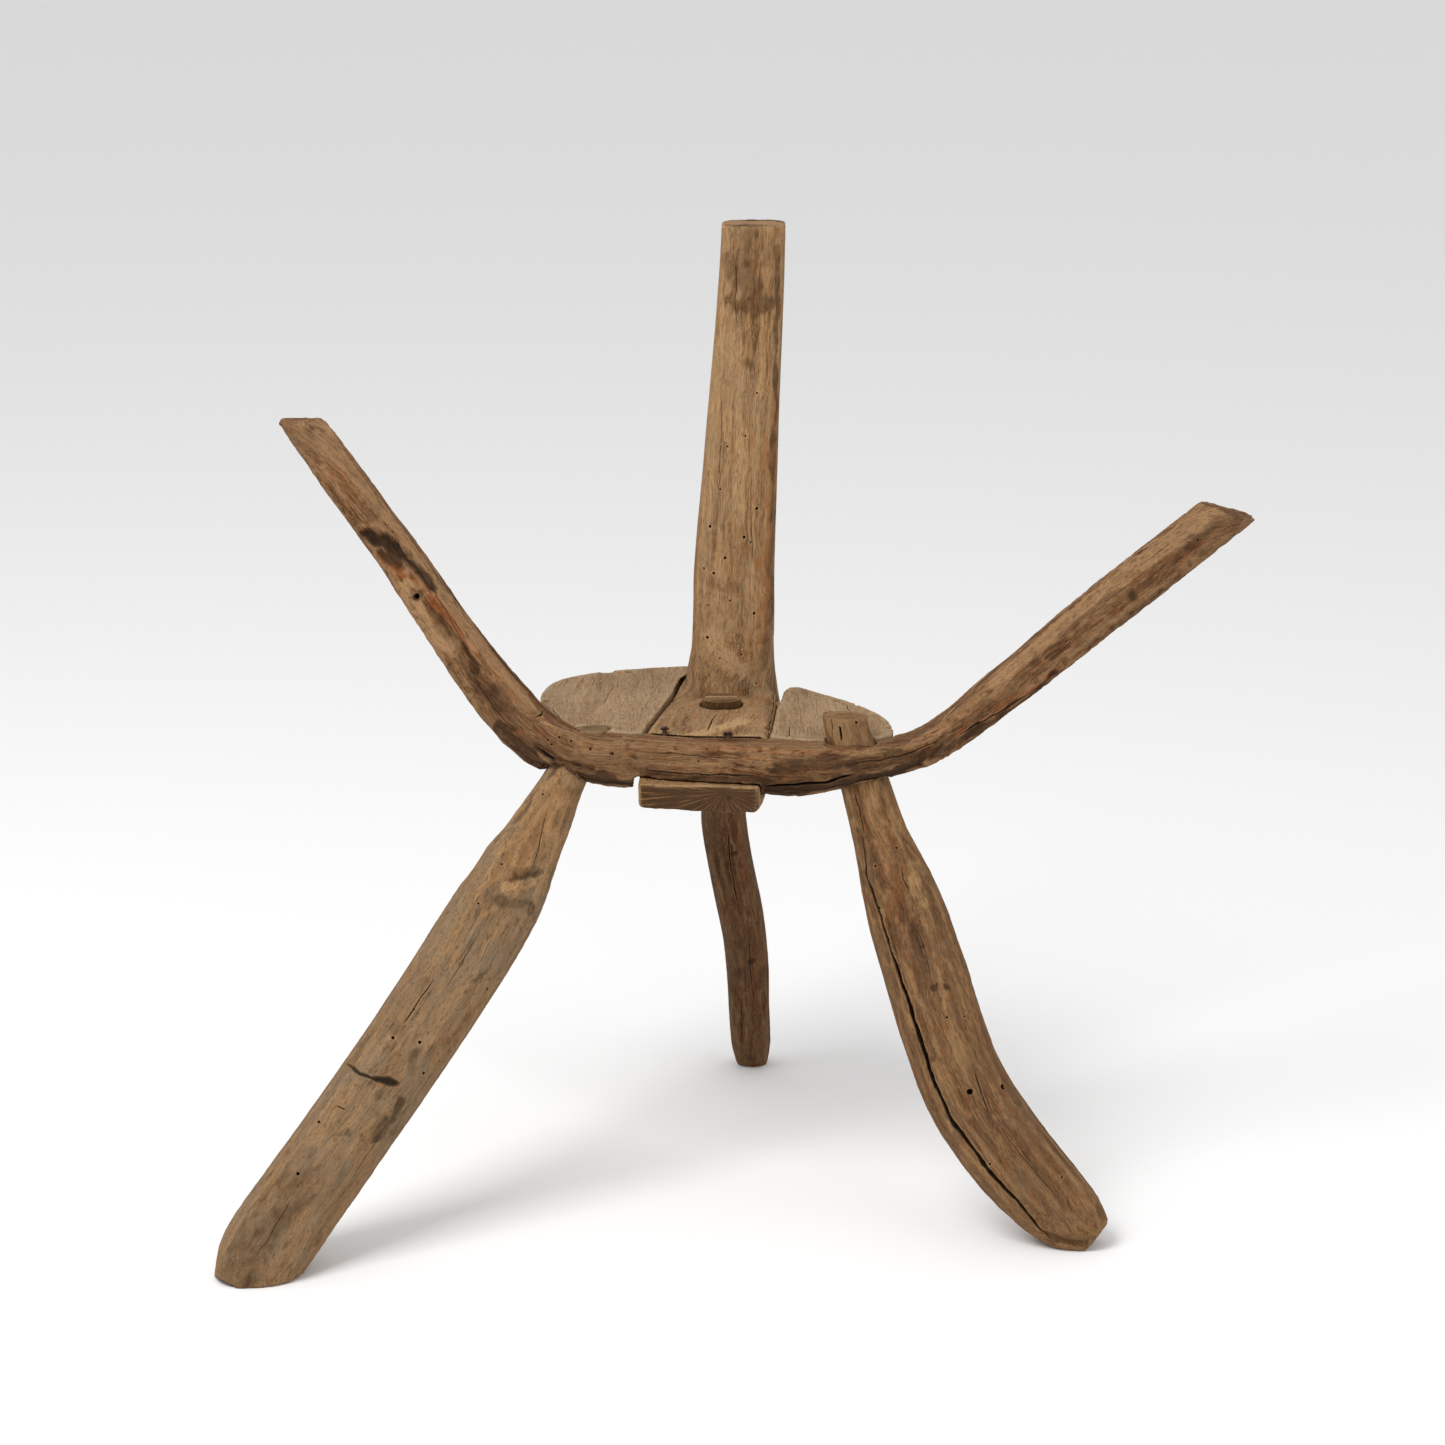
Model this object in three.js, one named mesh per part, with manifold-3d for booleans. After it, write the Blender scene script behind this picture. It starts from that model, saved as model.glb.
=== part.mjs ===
// A three-legged wooden stand, hewn from naturally bent branches.
// Millimetres, +Z up. The origin is on the ground, under the middle of the bounding box.
// +X runs from the left prong to the right one, and +Y runs towards the tall back post.

import * as THREE from 'three';
import { mergeVertices } from 'three/addons/utils/BufferGeometryUtils.js';
import Module from 'manifold-3d';

const wasm = await Module();
wasm.setup();

// Driving dimensions.
const GAP = 0.3; // clearance left all round between two pieces that touch
const SEAT_TOP = 370; // the round board, the crook's foot and the yoke are level here
const BOARD_THICKNESS = 22;
const LEFT_PRONG_TOP = 595;
const RIGHT_PRONG_TIP = { x: 376, z: 525, tilt: 0.3 }; // the cut falls towards the outside
const POST_TOP = 730;
const RIGHT_TENON_TOP = 388; // the right leg's tenon stands proud of the seat
const REAR_TENON_TOP = 376;
const NOTCH = { left: -84, right: 12, ceiling: 341.5, tilt: 0.026 }; // under the yoke
const FOOT_UNDERSIDE = { x: -36, z: 320.7, tilt: 0.055 }; // hewn flat, lower at the right
const FOOT_CHAMFER = { x: 8, z: 317, tilt: -0.9 }; // along the underside's right edge
const LAP_MIDDLE = (NOTCH.left + NOTCH.right) / 2;
const LAP_SHOULDER = -66; // the crook's foot is cut down in front of this line
const DOWEL = { radius: 5, length: 40 };
const NAIL = { head: 4.5, crown: 2.4, headHeight: 2.4, shank: 2.3, point: 0.6, length: 28 };
const WEDGE = { wide: 26, thick: 3.2, edge: 0.8, deep: 20 };
const FAR = 900; // larger than the whole stand, for level cuts

// Each limb is a list of stations along its middle: x, y, z, and the section's width and depth.
// Width is measured across the limb, square to its facing direction, and depth along it.
const YOKE = {
  facing: [0, 1, 0],
  squareness: 5,
  stations: [
    [-356, 33, 617, 28, 32],
    [-308, 17, 552, 31, 34],
    [-261, 0, 490, 33, 35],
    [-221, -16, 433, 36, 36],
    [-184, -32, 387, 40, 38],
    [-154, -46, 361, 41, 38],
    [-124, -56, 352, 38, 38],
    [-92, -65, 350.5, 40, 38],
    [-50, -78, 351.5, 37, 38],
    [0, -82, 350.5, 39, 38],
    [40, -84, 349.5, 41, 40],
    [80, -85, 354, 33, 43],
    [112, -78, 357, 25, 41],
    [145, -63, 365, 27, 37],
    [187, -47, 393, 31, 35],
    [254, -24, 443, 35, 35],
    [318, -2, 489, 36, 34],
    [394, 24, 543, 34, 33],
  ],
};

const POST = {
  facing: [0, 1, 0],
  squareness: 3.6,
  stations: [
    [-10, 106, 340, 82, 92],
    [-10, 103, 372, 72, 82],
    [-8.7, 98, 402, 66, 60],
    [-7.8, 103, 455, 65, 50],
    [-3.4, 114, 534, 60, 46],
    [2, 128, 624, 55, 43],
    [6, 139, 690, 52, 41],
    [8, 147, 746, 51, 39],
  ],
};

const FOOT = {
  facing: [0, 0, 1],
  squareness: 10,
  stations: [
    [-35, -106, 343, 86, 48],
    [-35, -101, 343.5, 92, 52],
    [-30, -64, 343.5, 97, 53],
    [-23, -8, 343.5, 92, 53],
    [-16, 52, 343.5, 84, 53],
    [-13, 104, 343, 78, 53],
    [-12, 140, 343, 68, 48],
    [-11, 153, 343, 50, 34],
  ],
};

const LEFT_LEG = {
  facing: [0, 1, 0],
  squareness: 2.3,
  stations: [
    [-104, -34, 386, 18, 18],
    [-114, -42, 370, 23, 21],
    [-139, -62, 331, 34, 29],
    [-152, -74, 306, 43, 37],
    [-169, -88, 279, 56, 50],
    [-184, -101, 252, 65, 58],
    [-211, -122, 211, 67, 61],
    [-249.5, -151, 157, 66, 63],
    [-290, -181, 104, 66, 63],
    [-331.5, -210, 51, 67, 62],
    [-352, -225, 24, 68, 61],
    [-364, -234, 7, 62, 54],
    [-374, -242, -9, 44, 40],
  ],
};

const RIGHT_LEG = {
  facing: [0, 1, 0],
  squareness: 2.5,
  stations: [
    [71, -66, 406, 33, 27],
    [78, -75, 372, 35, 28],
    [91, -85, 336, 38, 31],
    [102, -94, 298, 43, 38],
    [114, -103, 266, 55, 47],
    [124, -110, 236, 62, 53],
    [134, -118, 206, 64, 55],
    [145, -127, 170, 65, 56],
    [158, -136, 133, 66, 57],
    [177, -146, 97, 68, 56],
    [204, -156, 61, 67, 54],
    [231, -164, 33, 62, 50],
    [250, -169, 17, 52, 44],
    [264, -172, 6, 34, 32],
  ],
};

const REAR_LEG = {
  facing: [0, 1, 0],
  squareness: 2.4,
  stations: [
    [-18, 16, 396, 31, 27],
    [-18, 31, 370, 32, 28],
    [-17, 62, 316, 35, 31],
    [-16, 97, 257, 37, 33],
    [-11, 121, 216, 37, 32],
    [-4, 145, 175, 38, 33],
    [1, 165, 141, 37, 33],
    [4, 188, 102, 36, 32],
    [5, 211, 64, 35, 31],
    [7, 235, 24, 34, 30],
    [8, 247, 5, 28, 25],
    [9, 258, -14, 22, 20],
  ],
};

// Where the hidden dowels cross the joints between the crook's foot and the two boards.
const DOWEL_PLACES = {
  foot_dowel_left_front: [-72, -15, 359],
  foot_dowel_left_rear: [-59, 60, 359],
  foot_dowel_right_front: [28, -15, 359],
  foot_dowel_right_rear: [30, 60, 359],
};

// Where each nail's head sits: x, y and z of its underside, and its slant towards the front.
const NAIL_PLACES = {
  lap_nail_left: { at: [-61, -58, 372.5], slant: -0.42 },
  lap_nail_middle: { at: [-13, -64, 370.4], slant: -0.42 },
};

const FINISHES = {
  yoke: { color: 0x84633f, roughness: 0.8 },
  crook: { color: 0x9a7a55, roughness: 0.78 },
  board: { color: 0x8c7355, roughness: 0.86 },
  leg: { color: 0x8d7150, roughness: 0.84 },
  darkLeg: { color: 0x71543a, roughness: 0.82 },
  peg: { color: 0xa88a62, roughness: 0.75 },
  iron: { color: 0x3b2620, roughness: 0.7, metalness: 0.6 },
};

// A closed geometry becomes a solid that can be cut and joined.
function toSolid(geometry) {
  const bare = geometry.clone();
  bare.deleteAttribute('normal');
  bare.deleteAttribute('uv');
  const welded = mergeVertices(bare, 1e-4);
  return new wasm.Manifold(new wasm.Mesh({
    numProp: 3,
    vertProperties: welded.getAttribute('position').array,
    triVerts: Uint32Array.from(welded.getIndex().array),
  }));
}

function toMesh(name, solid, finish) {
  const { vertProperties, triVerts } = solid.getMesh();
  const geometry = new THREE.BufferGeometry();
  geometry.setAttribute('position', new THREE.BufferAttribute(vertProperties, 3));
  geometry.setIndex(new THREE.BufferAttribute(triVerts, 1));
  geometry.computeVertexNormals();
  const mesh = new THREE.Mesh(geometry, new THREE.MeshStandardMaterial({ flatShading: true, ...finish }));
  mesh.name = name;
  return mesh;
}

// One coordinate of a rounded square's outline: 2 gives a circle, higher values squarer corners.
function rounded(value, squareness) {
  return Math.sign(value) * Math.abs(value) ** (2 / squareness);
}

// A bent, tapering limb: a cylinder whose rings are moved to the stations along a smooth curve.
// With grow above zero the limb is that much fatter all round, for cutting its own socket.
function limb({ stations, facing, squareness, sides = 16 }, grow = 0) {
  const spine = new THREE.CatmullRomCurve3(stations.map(([x, y, z]) => new THREE.Vector3(x, y, z)));
  const sizes = stations.map(([, , , wide, deep]) => new THREE.Vector3(wide, deep, 0));
  const girth = new THREE.CatmullRomCurve3(sizes, false, 'catmullrom');
  const toFacing = new THREE.Vector3(...facing);
  const geometry = new THREE.CylinderGeometry(1, 1, 1, sides, (stations.length - 1) * 2);
  const points = geometry.getAttribute('position');
  const point = new THREE.Vector3();
  for (let i = 0; i < points.count; i += 1) {
    point.fromBufferAttribute(points, i);
    const along = point.y + 0.5;
    const reach = Math.hypot(point.x, point.z);
    const angle = Math.atan2(point.z, point.x) + Math.PI / sides;
    const size = girth.getPoint(along);
    const tangent = spine.getTangent(along);
    const across = new THREE.Vector3().crossVectors(tangent, toFacing).normalize();
    const inward = new THREE.Vector3().crossVectors(across, tangent);
    const place = spine.getPoint(along);
    place.addScaledVector(across, reach * (size.x / 2 + grow) * rounded(Math.cos(angle), squareness));
    place.addScaledVector(inward, reach * (size.y / 2 + grow) * rounded(Math.sin(angle), squareness));
    points.setXYZ(i, place.x, place.y, place.z);
  }
  return toSolid(geometry);
}

// A board of the given outline in plan, its top level with the seat.
function board(outline, grow = 0) {
  const geometry = new THREE.ExtrudeGeometry(outline, {
    depth: BOARD_THICKNESS,
    curveSegments: 24,
    bevelEnabled: grow > 0,
    bevelSegments: 1,
    bevelSize: grow,
    bevelThickness: grow,
  });
  return toSolid(geometry.translate(0, 0, SEAT_TOP - BOARD_THICKNESS));
}

function leftOutline() {
  const outline = new THREE.Shape();
  outline.moveTo(-40, -58);
  outline.lineTo(-86, -59);
  outline.lineTo(-112, -50);
  outline.lineTo(-125, -46);
  outline.lineTo(-136, -35);
  outline.lineTo(-148, -12);
  outline.splineThru([
    new THREE.Vector2(-158, 30),
    new THREE.Vector2(-159, 68),
    new THREE.Vector2(-148, 108),
    new THREE.Vector2(-118, 134),
    new THREE.Vector2(-76, 149),
    new THREE.Vector2(-34, 158),
  ]);
  outline.closePath();
  return outline;
}

function rightOutline() {
  const outline = new THREE.Shape();
  outline.moveTo(36, 87);
  outline.lineTo(31, 74);
  outline.lineTo(28, 42);
  outline.lineTo(20, -20);
  outline.lineTo(14, -62);
  outline.lineTo(20, -70);
  outline.lineTo(46, -79);
  outline.lineTo(62, -79);
  outline.lineTo(98, -74);
  outline.lineTo(111, -66);
  outline.splineThru([
    new THREE.Vector2(113, -44),
    new THREE.Vector2(106, -4),
    new THREE.Vector2(84, 37),
    new THREE.Vector2(60, 67),
    new THREE.Vector2(44, 87),
  ]);
  outline.closePath();
  return outline;
}

function block([x0, y0, z0], [x1, y1, z1]) {
  const geometry = new THREE.BoxGeometry(x1 - x0, y1 - y0, z1 - z0);
  geometry.translate((x0 + x1) / 2, (y0 + y1) / 2, (z0 + z1) / 2);
  return toSolid(geometry);
}

// Everything above the height z at x; with a tilt, the plane falls towards the right.
function above(z, x = 0, tilt = 0) {
  const geometry = new THREE.BoxGeometry(2 * FAR, 2 * FAR, FAR);
  geometry.translate(0, 0, FAR / 2);
  geometry.rotateY(tilt);
  geometry.translate(x, 0, z);
  return toSolid(geometry);
}

function below(z, x = 0, tilt = 0) {
  const geometry = new THREE.BoxGeometry(2 * FAR, 2 * FAR, FAR);
  geometry.translate(0, 0, -FAR / 2);
  geometry.rotateY(tilt);
  geometry.translate(x, 0, z);
  return toSolid(geometry);
}

// The notch under the yoke that lets the crook's foot pass, narrowed all round by the given gap.
function notch(gap = 0) {
  const sides = block([NOTCH.left + gap, -FAR, 0], [NOTCH.right - gap, 0, FAR]);
  return sides.intersect(below(NOTCH.ceiling - gap, LAP_MIDDLE, NOTCH.tilt));
}

// What is cut from the crook's foot in front of its shoulder, so that a tongue is left below.
function lapWaste() {
  const front = block([-FAR, -FAR, 0], [FAR, LAP_SHOULDER, FAR]);
  return front.intersect(above(NOTCH.ceiling - GAP, LAP_MIDDLE, NOTCH.tilt));
}

function dowelGeometry(grow = 0) {
  const radius = DOWEL.radius + grow;
  return new THREE.CylinderGeometry(radius, radius, DOWEL.length + 2 * grow, 12).rotateZ(Math.PI / 2);
}

function dowelSocket(at) {
  return toSolid(dowelGeometry(GAP).translate(...at));
}

// A hand-forged nail: a square tapered shank under a low faceted head, along the Z axis.
function nail(grow = 0) {
  const length = NAIL.length + grow;
  const shank = new THREE.CylinderGeometry(NAIL.shank + grow, NAIL.point + grow, length, 4);
  shank.rotateX(Math.PI / 2);
  shank.translate(0, 0, 0.5 - length / 2);
  const height = NAIL.headHeight + 2 * grow;
  const head = new THREE.CylinderGeometry(NAIL.crown + grow, NAIL.head + grow, height, 8);
  head.rotateX(Math.PI / 2);
  head.translate(0, 0, NAIL.headHeight / 2);
  return toSolid(shank).add(toSolid(head));
}

function nailSocket({ at, slant }) {
  return nail(GAP).rotate([THREE.MathUtils.radToDeg(slant), 0, 0]).translate(at);
}

// The wedge that spreads the rear tenon: a thin taper, thick edge up, across the stand.
function wedge(grow = 0) {
  const top = WEDGE.thick / 2 + grow;
  const bottom = WEDGE.edge / 2 + grow;
  const profile = new THREE.Shape();
  profile.moveTo(-top, grow);
  profile.lineTo(-bottom, -WEDGE.deep - grow);
  profile.lineTo(bottom, -WEDGE.deep - grow);
  profile.lineTo(top, grow);
  profile.closePath();
  const geometry = new THREE.ExtrudeGeometry(profile, { depth: WEDGE.wide + 2 * grow, bevelEnabled: false });
  geometry.translate(0, 0, -WEDGE.wide / 2 - grow);
  geometry.rotateX(Math.PI / 2);
  geometry.rotateZ(Math.PI / 2);
  return toSolid(geometry);
}

// The space that the boards leave for the crook: straight-sided round the foot, and the post.
function crookSpace(grow = 0) {
  return limb({ ...FOOT, squareness: 60 }, grow).add(limb(POST, grow));
}

// The step cut in the yoke's back edge for a board's front edge, open upwards.
function rabbet(outline) {
  const space = board(outline, GAP);
  return space.add(space.translate([0, 0, BOARD_THICKNESS / 2])).subtract(crookSpace());
}

function cutAll(solid, cutters) {
  return cutters.reduce((rest, cutter) => rest.subtract(cutter), solid);
}

const dowelSockets = Object.values(DOWEL_PLACES).map(dowelSocket);
const nailSockets = Object.values(NAIL_PLACES).map(nailSocket);
const legSockets = [limb(LEFT_LEG, GAP), limb(RIGHT_LEG, GAP), limb(REAR_LEG, GAP)];

// The two boards lie in a rabbet along the yoke's back edge and butt against the crook's foot.
const leftBoard = cutAll(board(leftOutline()), [crookSpace(GAP), ...legSockets, ...dowelSockets]);
const rightBoard = cutAll(board(rightOutline()), [crookSpace(GAP), ...legSockets, ...dowelSockets]);
const rabbets = [rabbet(leftOutline()), rabbet(rightOutline())];

const yoke = cutAll(limb(YOKE), [
  ...rabbets,
  notch(),
  ...legSockets,
  ...nailSockets,
  above(LEFT_PRONG_TOP),
  above(RIGHT_PRONG_TIP.z, RIGHT_PRONG_TIP.x, RIGHT_PRONG_TIP.tilt),
]);

const crook = cutAll(limb(FOOT).add(limb(POST)), [
  lapWaste(),
  limb(YOKE, GAP).subtract(notch(GAP)),
  below(FOOT_UNDERSIDE.z, FOOT_UNDERSIDE.x, FOOT_UNDERSIDE.tilt),
  below(FOOT_CHAMFER.z, FOOT_CHAMFER.x, FOOT_CHAMFER.tilt),
  above(POST_TOP),
  ...legSockets,
  ...dowelSockets,
  ...nailSockets,
]);

const wedgePlace = [-18, 31, REAR_TENON_TOP];
const leftLeg = cutAll(limb(LEFT_LEG), [above(SEAT_TOP), below(0)]);
const rightLeg = cutAll(limb(RIGHT_LEG), [above(RIGHT_TENON_TOP), below(0)]);
const rearLeg = cutAll(limb(REAR_LEG), [above(REAR_TENON_TOP), below(0), wedge(GAP).translate(wedgePlace)]);

const stand = new THREE.Group();
stand.add(toMesh('front_yoke', yoke, FINISHES.yoke));
stand.add(toMesh('back_crook', crook, FINISHES.crook));
stand.add(toMesh('left_board', leftBoard, FINISHES.board));
stand.add(toMesh('right_board', rightBoard, FINISHES.board));
stand.add(toMesh('left_leg', leftLeg, FINISHES.leg));
stand.add(toMesh('right_leg', rightLeg, FINISHES.leg));
stand.add(toMesh('rear_leg', rearLeg, FINISHES.darkLeg));

const rearWedge = toMesh('rear_tenon_wedge', wedge(), FINISHES.peg);
rearWedge.position.set(...wedgePlace);
stand.add(rearWedge);

for (const [name, at] of Object.entries(DOWEL_PLACES)) {
  const dowel = toMesh(name, toSolid(dowelGeometry()), FINISHES.peg);
  dowel.position.set(...at);
  stand.add(dowel);
}

for (const [name, { at, slant }] of Object.entries(NAIL_PLACES)) {
  const forged = toMesh(name, nail(), FINISHES.iron);
  forged.position.set(...at);
  forged.rotation.x = slant;
  stand.add(forged);
}

export default stand;
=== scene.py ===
import math

import bpy
import numpy as np
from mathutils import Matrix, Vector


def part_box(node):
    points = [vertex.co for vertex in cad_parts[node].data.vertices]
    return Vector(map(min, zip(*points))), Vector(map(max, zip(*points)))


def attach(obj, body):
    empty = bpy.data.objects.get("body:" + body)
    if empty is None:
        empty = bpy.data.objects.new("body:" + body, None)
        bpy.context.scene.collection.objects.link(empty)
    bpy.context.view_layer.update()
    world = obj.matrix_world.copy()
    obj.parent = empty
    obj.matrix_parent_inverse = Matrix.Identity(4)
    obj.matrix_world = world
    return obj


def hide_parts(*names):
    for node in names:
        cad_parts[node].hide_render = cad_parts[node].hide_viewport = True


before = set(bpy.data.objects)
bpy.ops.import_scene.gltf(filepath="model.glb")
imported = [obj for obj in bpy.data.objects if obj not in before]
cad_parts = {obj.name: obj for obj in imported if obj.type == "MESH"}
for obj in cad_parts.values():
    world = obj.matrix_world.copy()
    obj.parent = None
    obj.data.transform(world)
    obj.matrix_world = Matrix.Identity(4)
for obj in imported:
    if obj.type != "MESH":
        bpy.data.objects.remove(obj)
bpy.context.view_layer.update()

# ----------------------------------------
# The camera: it stands three metres in front of the piece at chest height, and looks slightly
# down on it through a long lens.

CAMERA_PITCH = 14.6
bpy.ops.object.camera_add(
    location=(-0.017, -3.214, 1.2),
    rotation=(math.radians(90 - CAMERA_PITCH), 0, 0),
)
camera = bpy.context.object
camera.name = "stand_camera"
camera.data.sensor_width = 36
camera.data.lens = 107.13
camera.data.clip_end = 60
bpy.context.scene.camera = camera

# ----------------------------------------
# The back crook: one naturally bent piece of hardwood, hewn square. Its tall post leans back,
# and its foot lies under the middle of the seat, halved in front to pass under the yoke.

MM = 0.001
X, Y, Z = range(3)


def select_only(piece):
    bpy.ops.object.select_all(action="DESELECT")
    piece.select_set(True)
    bpy.context.view_layer.objects.active = piece


def rough_out(node, name):
    """A copy of a frame node with its loose triangles merged, free to be worked."""
    select_only(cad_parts[node])
    bpy.ops.object.duplicate()
    piece = bpy.context.object
    piece.name = name
    piece.data.name = name
    piece.parent = None
    for key in list(piece.keys()):
        del piece[key]
    bpy.ops.object.mode_set(mode="EDIT")
    bpy.ops.mesh.select_all(action="SELECT")
    bpy.ops.mesh.remove_doubles(threshold=0.05 * MM)
    bpy.ops.object.mode_set(mode="OBJECT")
    piece.data.materials.clear()
    return piece


def apply_modifier(piece, kind, **settings):
    select_only(piece)
    modifier = piece.modifiers.new("work", kind)
    for name, value in settings.items():
        setattr(modifier, name, value)
    bpy.ops.object.modifier_apply(modifier=modifier.name)


def even_skin(piece, fineness=1.5, smoothing=2):
    """An even net of small faces all over a piece, with its sharp arrises worn round."""
    apply_modifier(piece, "REMESH", mode="VOXEL", voxel_size=fineness * MM)
    apply_modifier(piece, "SMOOTH", factor=0.5, iterations=smoothing)


def read(elements, name):
    """One vector of every vertex or face, as rows."""
    values = np.empty(len(elements) * 3)
    elements.foreach_get(name, values)
    return values.reshape(-1, 3)


def points_of(piece):
    return read(piece.data.vertices, "co")


def normals_of(piece):
    return read(piece.data.vertex_normals, "vector")


def move_points(piece, points, node):
    """Puts the points in place, but never outside the box of the frame node."""
    low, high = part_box(node)
    points = np.clip(points, np.array(low), np.array(high))
    piece.data.vertices.foreach_set("co", points.ravel())
    piece.data.update()


def unevenness(points, seed):
    """Smooth noise between -1 and 1, with about one swell in each unit of length."""
    cell = np.floor(points).astype(np.int64)
    part = points - cell
    part = part * part * (3 - 2 * part)
    total = np.zeros(len(points))
    for corner in np.ndindex(2, 2, 2):
        spot = cell + corner
        key = spot[:, 0] * 73856093 ^ spot[:, 1] * 19349663 ^ spot[:, 2] * 83492791
        key = (key ^ seed * 2654435) & 0xFFFFFF
        key = (key ^ (key >> 11)) * 48271 & 0xFFFFFF
        key = (key * (key * key * 15731 + 789221) + 1376312589) & 0x7FFFFFFF
        share = np.prod(np.where(np.array(corner) == 1, part, 1 - part), axis=1)
        total += share * (key / 0x3FFFFFFF - 1)
    return total


def middle_line(piece, axis, start, stop, steps):
    """The line through the middle of slices cut square to one axis, its kinks eased."""
    points = points_of(piece)
    cuts = np.linspace(start, stop, steps + 1) * MM
    line = []
    for one, other in zip(cuts[:-1], cuts[1:]):
        near = np.abs(points[:, axis] - (one + other) / 2) <= abs(other - one) / 2
        centre = (points[near].min(axis=0) + points[near].max(axis=0)) / 2
        centre[axis] = (one + other) / 2
        line.append(centre)
    return eased(np.array(line), 2)


def eased(line, rounds):
    for _ in range(rounds):
        line[1:-1] = (line[:-2] + 2 * line[1:-1] + line[2:]) / 4
    return line


def along_grain(points, line, facing):
    """Each point's place in the wood (across, into and along the grain), and those three ways."""
    line = np.vstack([2 * line[0] - line[1], line, 2 * line[-1] - line[-2]])
    steps = np.linalg.norm(np.diff(line, axis=0), axis=1)
    starts = np.concatenate([[0], np.cumsum(steps)]) - steps[0]
    tangents = np.gradient(line, axis=0)
    best = np.full(len(points), np.inf)
    along = np.zeros(len(points))
    middle = np.zeros((len(points), 3))
    heading = np.zeros((len(points), 3))
    for i, step in enumerate(steps):
        run = line[i + 1] - line[i]
        share = (points - line[i]) @ run / step**2
        low = -9.0 if i == 0 else 0.0
        high = 9.0 if i == len(steps) - 1 else 1.0
        share = np.clip(share, low, high)
        spot = line[i] + share[:, None] * run
        gap = np.linalg.norm(points - spot, axis=1)
        closer = gap < best
        best[closer] = gap[closer]
        along[closer] = (starts[i] + share * step)[closer]
        middle[closer] = spot[closer]
        turn = np.clip(share, 0, 1)[:, None]
        heading[closer] = (tangents[i] + turn * (tangents[i + 1] - tangents[i]))[closer]
    heading /= np.linalg.norm(heading, axis=1)[:, None]
    across = np.cross(heading, facing)
    across /= np.linalg.norm(across, axis=1)[:, None]
    inward = np.cross(across, heading)
    offset = points - middle
    place = np.stack([(offset * across).sum(1), (offset * inward).sum(1), along], axis=1)
    return place, across, inward, heading


def hew(points, normals, place, strokes, depth, length, width, seed, zone):
    """Takes scooped strokes off the skin, as an adze or a knife does, leaving low arrises."""
    rng = np.random.default_rng(seed)
    cut = np.zeros(len(points))
    reach = max(length, width) * MM
    for spot in rng.choice(np.flatnonzero(zone), strokes):
        size = rng.uniform(0.6, 1.25)
        deep = depth * MM * rng.uniform(0.5, 1.2)
        near = np.flatnonzero((np.abs(points - points[spot]) < reach * size).all(axis=1))
        offset = points[near] - points[spot]
        facing = normals[near] @ normals[spot]
        lengthwise = (place[near, 2] - place[spot, 2]) / (length * MM * size)
        sideways = np.linalg.norm(place[near, :2] - place[spot, :2], axis=1) / (width * MM * size)
        scoop = 1 - 4 * (lengthwise**2 + sideways**2)
        excess = offset @ normals[spot] + deep * scoop
        excess = np.where(facing > 0.5, excess, 0) * np.clip(1 + scoop, 0, 1)
        cut[near] = np.maximum(cut[near], np.minimum(excess, 1.3 * deep))
    return cut


def reach_from(path, points, normals, limit, wander=0.0):
    """How far points lie over the skin from a path, and how far along it, where it is near."""
    path = np.array(path, float) * MM
    limit = limit * MM
    near = np.flatnonzero(
        ((points > path.min(axis=0) - limit) & (points < path.max(axis=0) + limit)).all(axis=1)
    )
    if not len(near):
        return near, np.zeros(0), np.zeros(0)
    local = points[near]
    middle = path[len(path) // 2]
    facing = normals[near][np.argmin(np.linalg.norm(local - middle, axis=1))]
    shaken = local + wander * MM * np.stack([unevenness(local * 110, k) for k in (3, 5, 8)], axis=1)
    if len(path) == 1:
        path = np.vstack([path, path + 1e-6])
    steps = np.linalg.norm(np.diff(path, axis=0), axis=1)
    starts = np.concatenate([[0], np.cumsum(steps)])
    best = np.full(len(near), np.inf)
    share = np.zeros(len(near))
    for i, step in enumerate(steps):
        part = np.clip((shaken - path[i]) @ (path[i + 1] - path[i]) / step**2, 0, 1)
        offset = shaken - path[i] - part[:, None] * (path[i + 1] - path[i])
        lift = (offset * normals[near]).sum(axis=1)
        gap = np.sqrt(np.clip((offset**2).sum(axis=1) - lift**2, 0, None))
        gap[np.abs(lift) > 8 * MM] = np.inf
        closer = gap < best
        best[closer] = gap[closer]
        share[closer] = ((starts[i] + part * step) / starts[-1])[closer]
    best[normals[near] @ facing < 0.15] = np.inf
    return near, best, share


def opened(points, normals, bores, cracks):
    """How deep the worm bores and drying cracks go below the skin."""
    depth = np.zeros(len(points))
    for spots, radius, deep in bores:
        for spot in spots:
            near, gap, _ = reach_from([spot], points, normals, radius + 2)
            wall = np.clip(1.15 - (gap / (radius * MM)) ** 4, 0, 1)
            depth[near] = np.maximum(depth[near], deep * MM * wall)
    for path, width, deep in cracks:
        near, gap, share = reach_from(path, points, normals, width + 3, 0.9)
        taper = np.clip(6 * share * (1 - share), 0, 1) ** 0.5
        half = width * MM / 2 * (0.25 + 0.75 * taper)
        half *= 1 + 0.35 * unevenness(points[near] * 170, 4)
        wall = np.clip(1.2 * (1 - gap / half), 0, 1) ** 0.6
        depth[near] = np.maximum(depth[near], deep * MM * taper * wall)
    return depth


def sunken(points, normals, hollows):
    """How deep the broad hollows, chips and dents go, with their soft and ragged rims."""
    depth = np.zeros(len(points))
    for path, width, deep in hollows:
        near, gap, _ = reach_from(path, points, normals, width, 2.0)
        bowl = np.clip(1 - (gap / (width * MM / 2)) ** 2, 0, 1)
        depth[near] = np.maximum(depth[near], deep * MM * bowl)
    return depth


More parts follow.
